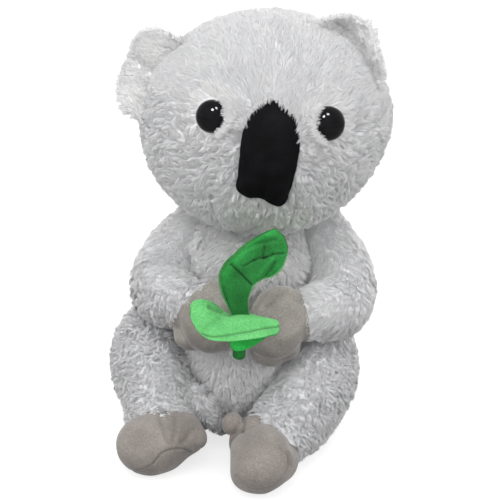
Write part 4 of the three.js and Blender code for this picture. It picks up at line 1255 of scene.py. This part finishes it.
# Foot marks: seams in dark thread and creases in painted shade; a mark with no depth is painted shade alone
FOOT_MARKS = {
    "right": [
        ([(-67.9, -149.8), (-65.1, -146.3), (-61.6, -142.4), (-56, -140), (-47.8, -139.3), (-42, -141.4)],
         0.9, 0.8, 0.28),
        ([(-85.4, -154.7), (-81.2, -154.3), (-76.3, -154), (-70, -151.2)], 0.7, 0.8, 0.25),
        ([(-70, -155.4), (-59.5, -148.4), (-50.4, -144.2), (-43.4, -141.4)], 0.0, 4.0, 0.16),
        ([(-63, -116.2), (-60.9, -124.6), (-56.7, -134.4)], 0.8, 1.7, 0.12),
        ([(-51.8, -118.3), (-51.8, -126), (-53.9, -133.7)], 0.7, 2.0, 0.10),
        ([(-47.8, -135.8), (-44.1, -131.6), (-39.9, -126)], 0.9, 2.0, 0.10),
        ([(-54.6, -124.6), (-50.4, -128.8), (-51.8, -133)], 0.3, 4.5, 0.12),
    ],
    "left": [
        ([(27.3, -141.4), (26.9, -150.5), (22, -159.9), (14, -165.9), (2.8, -167.5), (-4.5, -164.1),
          (-9.1, -158.2)], 0.7, 0.9, 0.16),
        ([(22.4, -139.3), (26.6, -144.2), (28, -151.2)], 0.8, 1.5, 0.12),
        ([(-12.6, -133.7), (-9.8, -128.8), (-4.9, -126.7)], 0.8, 1.5, 0.2),
        ([(-4.9, -116.9), (-4.2, -121.8), (-5.6, -126.7)], 1.0, 1.2, 0.25),
        ([(24, -120), (30, -126), (34, -135)], 5.0, 6.0, 0.0),
    ],
}
FOOT_TINT = np.array([0.84, 0.825, 0.81])
FOOT_NUDGES = {
    "right": [((-42, -150), (-0.3, 0.95), 4.5, 13)],
    "left": [((-8, -162), (-1, -0.3), 3.0, 14), ((20, -167), (-0.8, 0.6), 2.5, 12),
             ((-12, -133), (-1, 0), 2.5, 10)],
}
LEG_CALM = {"left": lambda places: 0.1 + 0.5 * smooth_step(places[:, 2], 45, 75), "right": constant(0.05)}


for side in SIDES:
    leg_whole = LEGS[side].mesh()
    if THIGH_LOBES[side]:
        lobes = [lobe.mesh(40, 60) for lobe in THIGH_LOBES[side]]
        leg_whole = grown_together([leg_whole] + lobes, cell=1.0, smoothing=8)
    leg_skin = inset(leg_whole, LEG_CALM[side])
    cloth_piece(f"leg_{side}_cloth", leg_skin, GREY_FUR, GREY, f"leg_{side}",
                [f"leg_{side}_skin", f"leg_{side}_fill"])

    made = pile(
        leg_skin, lambda p: LEGS[side].along_at(p) * 0.8 + np.array([0, 0, -0.8]),
        lambda p: outside(p, by_head, BURIED)
        & outside(p, [FEET[side]], 2) & outside(p, TOES[side], 0) & (p[:, 2] > 2.5),
        even(LEG_GREY), seed=51, calm_of=LEG_CALM[side], length=3.0, tuft=2.6, gather=0.62, curl=1.4,
        wild=1.1, roundness=0.4)
    pile_pieces(f"leg_{side}_pile", made, GREY_FUR, f"leg_{side}")

    toes = [toe.mesh(30, 44) for toe in TOES[side]]
    foot = grown_together([FEET[side].mesh(70, 110)] + toes, cell=0.7, smoothing=8)
    points, faces = uneven(on_floor(foot, FOOT_GAP), amount=0.35, size=20.0, seed=9)
    foot, tone = pressed_with_seams_and_painted_shade((nudged(points, FOOT_NUDGES[side]), faces), FOOT_MARKS[side])
    foot = on_floor(foot, FOOT_GAP)
    # the foot's suede darkened a little by painted shade where it faces down
    dress(mesh_object(f"foot_{side}_suede", *foot, SUEDE, tone * painted_underside_shade(*foot, 0.2) * FOOT_TINT),
          f"leg_{side}", [f"foot_{side}_upper", f"foot_{side}_sole"])


# Sprig: leaves of two layers each, given by where their edges run from the base to the tip
UPPER_EDGES = [
    ((-2.3, -101, 119.8), (9.5, -101, 120.2)), ((-5.2, -103, 127.3), (8.2, -102, 128.1)),
    ((-9, -105, 136.1), (8.4, -103, 134.8)), ((-11, -106, 143.8), (10, -104, 140.6)),
    ((-11.1, -106, 150.7), (12.3, -104, 144.6)), ((-8.3, -106, 157.7), (16.5, -104, 148)),
    ((-2.4, -106, 165), (22.1, -104, 150.3)), ((3.5, -106, 171.6), (27.4, -104, 155.5)),
    ((12.1, -105, 178), (30.2, -103, 163.5)), ((17.7, -104, 181.1), (30.6, -102, 170.5)),
    ((22.2, -103, 182.8), (27.9, -101, 177.2)),
]
LOWER_EDGES = [
    ((-28.2, -108, 127.2), (-27.3, -113, 122.6)), ((-26.2, -104, 128.8), (-24.4, -117, 118.5)),
    ((-22.7, -101, 128.8), (-19.7, -120, 114.1)), ((-17.4, -99, 127.8), (-13.9, -122, 111.5)),
    ((-11.9, -99, 125), (-8.6, -122, 111)), ((-7.3, -99, 121.5), (-3, -122, 111.2)),
    ((-3.3, -99, 119.4), (3.3, -122, 112.2)), ((2.1, -99, 120.9), (8.2, -121, 112.8)),
    ((9.4, -99, 121.3), (13.7, -120, 113.7)), ((16.9, -100, 119.7), (19.2, -119, 114.8)),
    ((22.4, -101, 120), (24, -117, 115.7)), ((27.1, -104, 120.5), (28.1, -114, 116.1)),
    ((29.1, -108, 119), (29.4, -111, 117.6)),
]


def leaf_mesh(edges, face, front, back, steps=140, spans=80, sag=0.0, rim=0.0):
    """A stuffed layer between two edges: front and back are how far its two faces stand off the middle
    surface, sag cups that surface, and rim curls the layer's edges forward."""
    edges = np.asarray(edges, float)
    t = np.linspace(0, 1, steps)
    left, right = curve_through(edges[:, 0], t), curve_through(edges[:, 1], t)
    share = np.sin(np.linspace(-math.pi / 2, math.pi / 2, spans))
    ends = np.sqrt(np.maximum(1 - (2 * t - 1) ** 8, 0))[:, None]
    body = np.sqrt(np.maximum(1 - share ** 2, 0))[None, :] * ends
    over = share[None, :, None]
    middle = (left[:, None] * (1 - over) + right[:, None] * (1 + over)) / 2

    def row(offset):
        lift = offset * body - sag * (1 - share[None, :] ** 2) + rim * np.abs(share[None, :]) ** 6
        return middle + face * lift[..., None]
    rings = np.concatenate([row(front), row(back)[:, ::-1]], axis=1)
    return closed_grid(rings)


UPPER_FACE = unit(np.array([0.1, -1, 0.35]))
LOWER_FACE = unit(np.array([0, -0.55, 0.84]))
# Marks pressed into the leaves. Their darkness is partly dark stitching and partly painted shade in the
# folds; a mark with no depth is painted shade alone, and a negative darkness is painted light on the parts
# that catch the light.
UPPER_MARKS = [
    ([(-16.5, -17.5), (-11.5, -7.5), (-4.0, 1.2), (5.0, 8.5), (15.5, 12.5)], -0.8, 3.6, -0.55),
    ([(25.5, 3), (25.5, -6), (21, -13)], 0.0, 2.5, -0.35),
    ([(-12.6, -9.8), (-7, -2.8), (1.4, 2.8), (9.8, 4.9), (17.5, 7)], 0.9, 1.6, 0.10),
    ([(-13.1, -10.4), (-8.4, -15), (-3.5, -20), (1.8, -25.1)], 1.5, 0.75, 0.5),
    ([(-4.2, -11.5), (-0.7, -9.8), (2.8, -7.7)], 0.9, 0.9, 0.35),
    ([(2.8, -7.7), (7, -6.6), (11.2, -5.9)], 0.8, 1.0, 0.25),
    ([(10.2, 1.8), (9.4, -2.8), (9.1, -6.3)], 1.0, 0.9, 0.35),
    ([(9.4, -6.6), (12.6, -5.2), (16.1, -3.8)], 1.1, 0.8, 0.4),
    ([(16.1, -3.1), (19.6, -3.1), (23.4, -2.7)], 1.0, 0.9, 0.35),
    ([(6.3, -18.9), (11.2, -11.9), (15.4, -7)], -1.0, 1.6, -0.15),
    ([(8.8, -21), (13.3, -15.4), (17.5, -9.1)], 0.9, 1.1, 0.28),
    ([(-7, -17.5), (-6.3, -28), (-7, -40.6)], 0.0, 6.0, 0.22),
    ([(3.5, -12.6), (8.4, -5.6), (11.2, 0)], 0.5, 5.0, 0.2),
    ([(-17.1, -34.3), (-15.4, -39.2), (-13.6, -44.1)], 1.3, 0.9, 0.4),
    ([(-19.2, -26.6), (-17.1, -34.3)], 0.7, 1.1, 0.15),
]
LOWER_MARKS = [
    ([(-33.2, -58.4), (-29.4, -60.1), (-25.2, -60.5), (-16.8, -59.5), (-9.8, -58.1), (-1.8, -56.9),
      (8.8, -54.6), (19.9, -53.3)], 1.2, 0.7, 0.45),
    ([(-28.3, -39.9), (-23.1, -41.9), (-18.2, -43.8), (-14, -45.5)], 1.6, 1.4, 0.3),
    ([(-28, -38.1), (-21.7, -39.5), (-15.4, -42.7)], 0.0, 2.0, 0.25),
    ([(-20.3, -47.6), (-24.5, -50), (-27.6, -52.5), (-30.1, -56)], 1.0, 2.0, 0.1),
    ([(-14, -49), (-2, -48.5), (10, -49.5)], -0.9, 3.0, -0.05),
]
FOLD_EDGES = [
    ((-2.2, -108, 108), (-1.4, -111, 103.8)), ((0.1, -106, 112.5), (0.9, -112, 101)),
    ((4.5, -105, 115), (5.4, -112, 100.9)), ((8.9, -105, 115.5), (9.8, -112, 102.5)),
    ((13.3, -105, 116), (14.1, -112, 105.5)), ((17.7, -106, 115.5), (18.3, -111, 108.6)),
    ((20.9, -107, 115), (21.7, -110, 111.2)),
]
FOLD_FACE = unit(np.array([0, -1, -0.3]))
RIM_SHADE, FOLD_GLEAM = 0.66, 1.3


def narrowed(edges, left, right):
    """The leaf's edges drawn in by shares of its width."""
    edges = np.asarray(edges, float)
    a, b = edges[:, 0], edges[:, 1]
    return np.stack([a + (b - a) * left, b + (a - b) * right], axis=1)


# Each layer with its edges, the way it faces, how far its faces stand off its middle, how deep it is cupped,
# how far its rim curls, and what is pressed into it
for name, edges, face, front, back, sag, rim, marks, material, slot in [
    ("leaf_upper_face", narrowed(UPPER_EDGES, 0.08, 0.04), UPPER_FACE, 3.2, -0.1, 1.0, 0.3, UPPER_MARKS,
     DARK_GREEN, "dark_green_plush"),
    ("leaf_upper_back", UPPER_EDGES, UPPER_FACE, -0.4, -3.2, 1.0, 1.4, [], LIGHT_GREEN, "light_green_plush"),
    ("leaf_lower_face", LOWER_EDGES, LOWER_FACE, 3.0, -0.1, 1.6, 0.6, LOWER_MARKS, LIGHT_GREEN,
     "light_green_plush"),
    ("leaf_lower_back", narrowed(LOWER_EDGES, 0.02, 0.02), LOWER_FACE, -0.4, -4.0, 1.6, 0.3, [], DARK_GREEN,
     "dark_green_plush"),
]:
    skin = leaf_mesh(edges, face, front, back, sag=sag, rim=rim)
    if name == "leaf_lower_back":
        fold = leaf_mesh(FOLD_EDGES, FOLD_FACE, front=2.0, back=-2.0, steps=60, spans=40)
        skin = grown_together([skin, fold], cell=0.6, smoothing=3)
    skin, tone = pressed_with_seams_and_painted_shade(skin, marks)
    if name == "leaf_upper_back":
        tone = tone * RIM_SHADE
    if name == "leaf_lower_back":
        tone = tone * (1 + FOLD_GLEAM * smooth_step(-skin[0][:, 1], 105, 109))[:, None]
    dress(mesh_object(f"{name}_plush", *skin, material, tone), "arms", [name])


# The stem, bent up behind the leaves and rounded off at its top
SPRIG_AT = np.array([ARM_MIDDLE, -ARM_FORWARD - STEM_PROUD, SHOULDER_HEIGHT - 0.9 * ARM_DROP - SPRIG_DROP])
STEM_SHARES = np.array([(-0.02, 0.3, -0.44), (0, 0.16, 0.1), (0, -0.26, 0.62), (0, -0.33, 0.70)])


def stem_mesh():
    t = np.linspace(0, 1, 60)
    at = curve_through(SPRIG_AT + STEM_LENGTH * STEM_SHARES, t)
    along = unit(np.gradient(at, axis=0))
    across = unit(np.cross(along, np.array([0, 1.0, 0])))
    radius = STEM_RADIUS * np.sqrt(1 - (0.95 * smooth_step(t, 0.84, 1.04)) ** 2)
    return oval_rings(at, across, np.cross(across, along), radius, radius, 32)


stem = mesh_object("stem_plush", *stem_mesh(), DARK_GREEN, 1.0)
dress(stem, "arms", ["sprig_stem"])


# Floor, world and lamps. The camera sees the floor and the world lighter than they light the toy.
FLOOR_HALF, FLOOR_GREY, FLOOR_GLOW = 4.0, 0.38, 0.72
WORLD_LIGHT, WORLD_SEEN = 0.70, 1.0


def make_floor():
    data = bpy.data.meshes.new("studio_floor")
    corners = [(x * FLOOR_HALF, y * FLOOR_HALF, 0) for x, y in ((-1, -1), (1, -1), (1, 1), (-1, 1))]
    data.from_pydata(corners, [], [(0, 1, 2, 3)])
    floor = bpy.data.objects.new("studio_floor", data)
    scene.collection.objects.link(floor)
    material, tree, shader = node_material("studio_floor")
    set_inputs(shader, {"Base Color": (FLOOR_GREY, FLOOR_GREY, FLOOR_GREY, 1), "Roughness": 0.9,
                        "Specular IOR Level": 0.0, "Emission Color": (1, 1, 1, 1)})
    path = add(tree, "ShaderNodeLightPath")
    glow = add(tree, "ShaderNodeMath", operation="MULTIPLY")
    set_inputs(glow, {1: FLOOR_GLOW})
    tree.links.new(path.outputs["Is Camera Ray"], glow.inputs[0])
    tree.links.new(glow.outputs[0], shader.inputs["Emission Strength"])
    data.materials.append(material)


def make_world():
    world = bpy.data.worlds.new("studio")
    scene.world = world
    world.use_nodes = True
    tree = world.node_tree
    background = tree.nodes["Background"]
    path = add(tree, "ShaderNodeLightPath")
    level = add(tree, "ShaderNodeMapRange")
    set_inputs(level, {"To Min": WORLD_LIGHT, "To Max": WORLD_SEEN})
    tree.links.new(path.outputs["Is Camera Ray"], level.inputs["Value"])
    tree.links.new(level.outputs["Result"], background.inputs["Strength"])
    set_inputs(background, {"Color": (1, 1, 1, 1)})


def lamp(name, place, target, size, power):
    light = bpy.data.lights.new(name, "AREA")
    light.shape = "DISK"
    light.size = size
    light.energy = power
    made = bpy.data.objects.new(name, light)
    scene.collection.objects.link(made)
    made.location = place
    made.rotation_euler = (Vector(target) - Vector(place)).to_track_quat("-Z", "Y").to_euler()
    return made


make_floor()
make_world()

# Two small lamps show in the eyes alone, and six broad ones light the toy. Each shines at a place over the
# origin, from which rise is how high it is.
for name, place, power in [("spark_left", (-0.25, -0.9, 1.5), 40), ("spark_top", (0.3, -0.5, 1.6), 24)]:
    lamp(name, place, (0, 0, 0.2), 0.38, power).visible_diffuse = False
for name, place, rise, size, power in [
    ("key", (-0.25, -0.9, 1.5), 0.15, 0.8, 6.5),
    ("top", (0.3, -0.5, 1.6), 0.2, 0.8, 4.5),
    ("front", (0.1, -1.5, 0.85), 0.12, 1.3, 9.5),
    ("back", (0.3, 1.4, 1.2), 0.15, 1.0, 9),
    ("side_left", (-1.2, -0.7, 0.85), 0.15, 0.9, 8),
    ("side_right", (1.2, -0.7, 0.85), 0.15, 0.9, 7),
]:
    lamp(name, place, (0, 0, rise), size, power).visible_glossy = False
scene.view_settings.view_transform = "Standard"
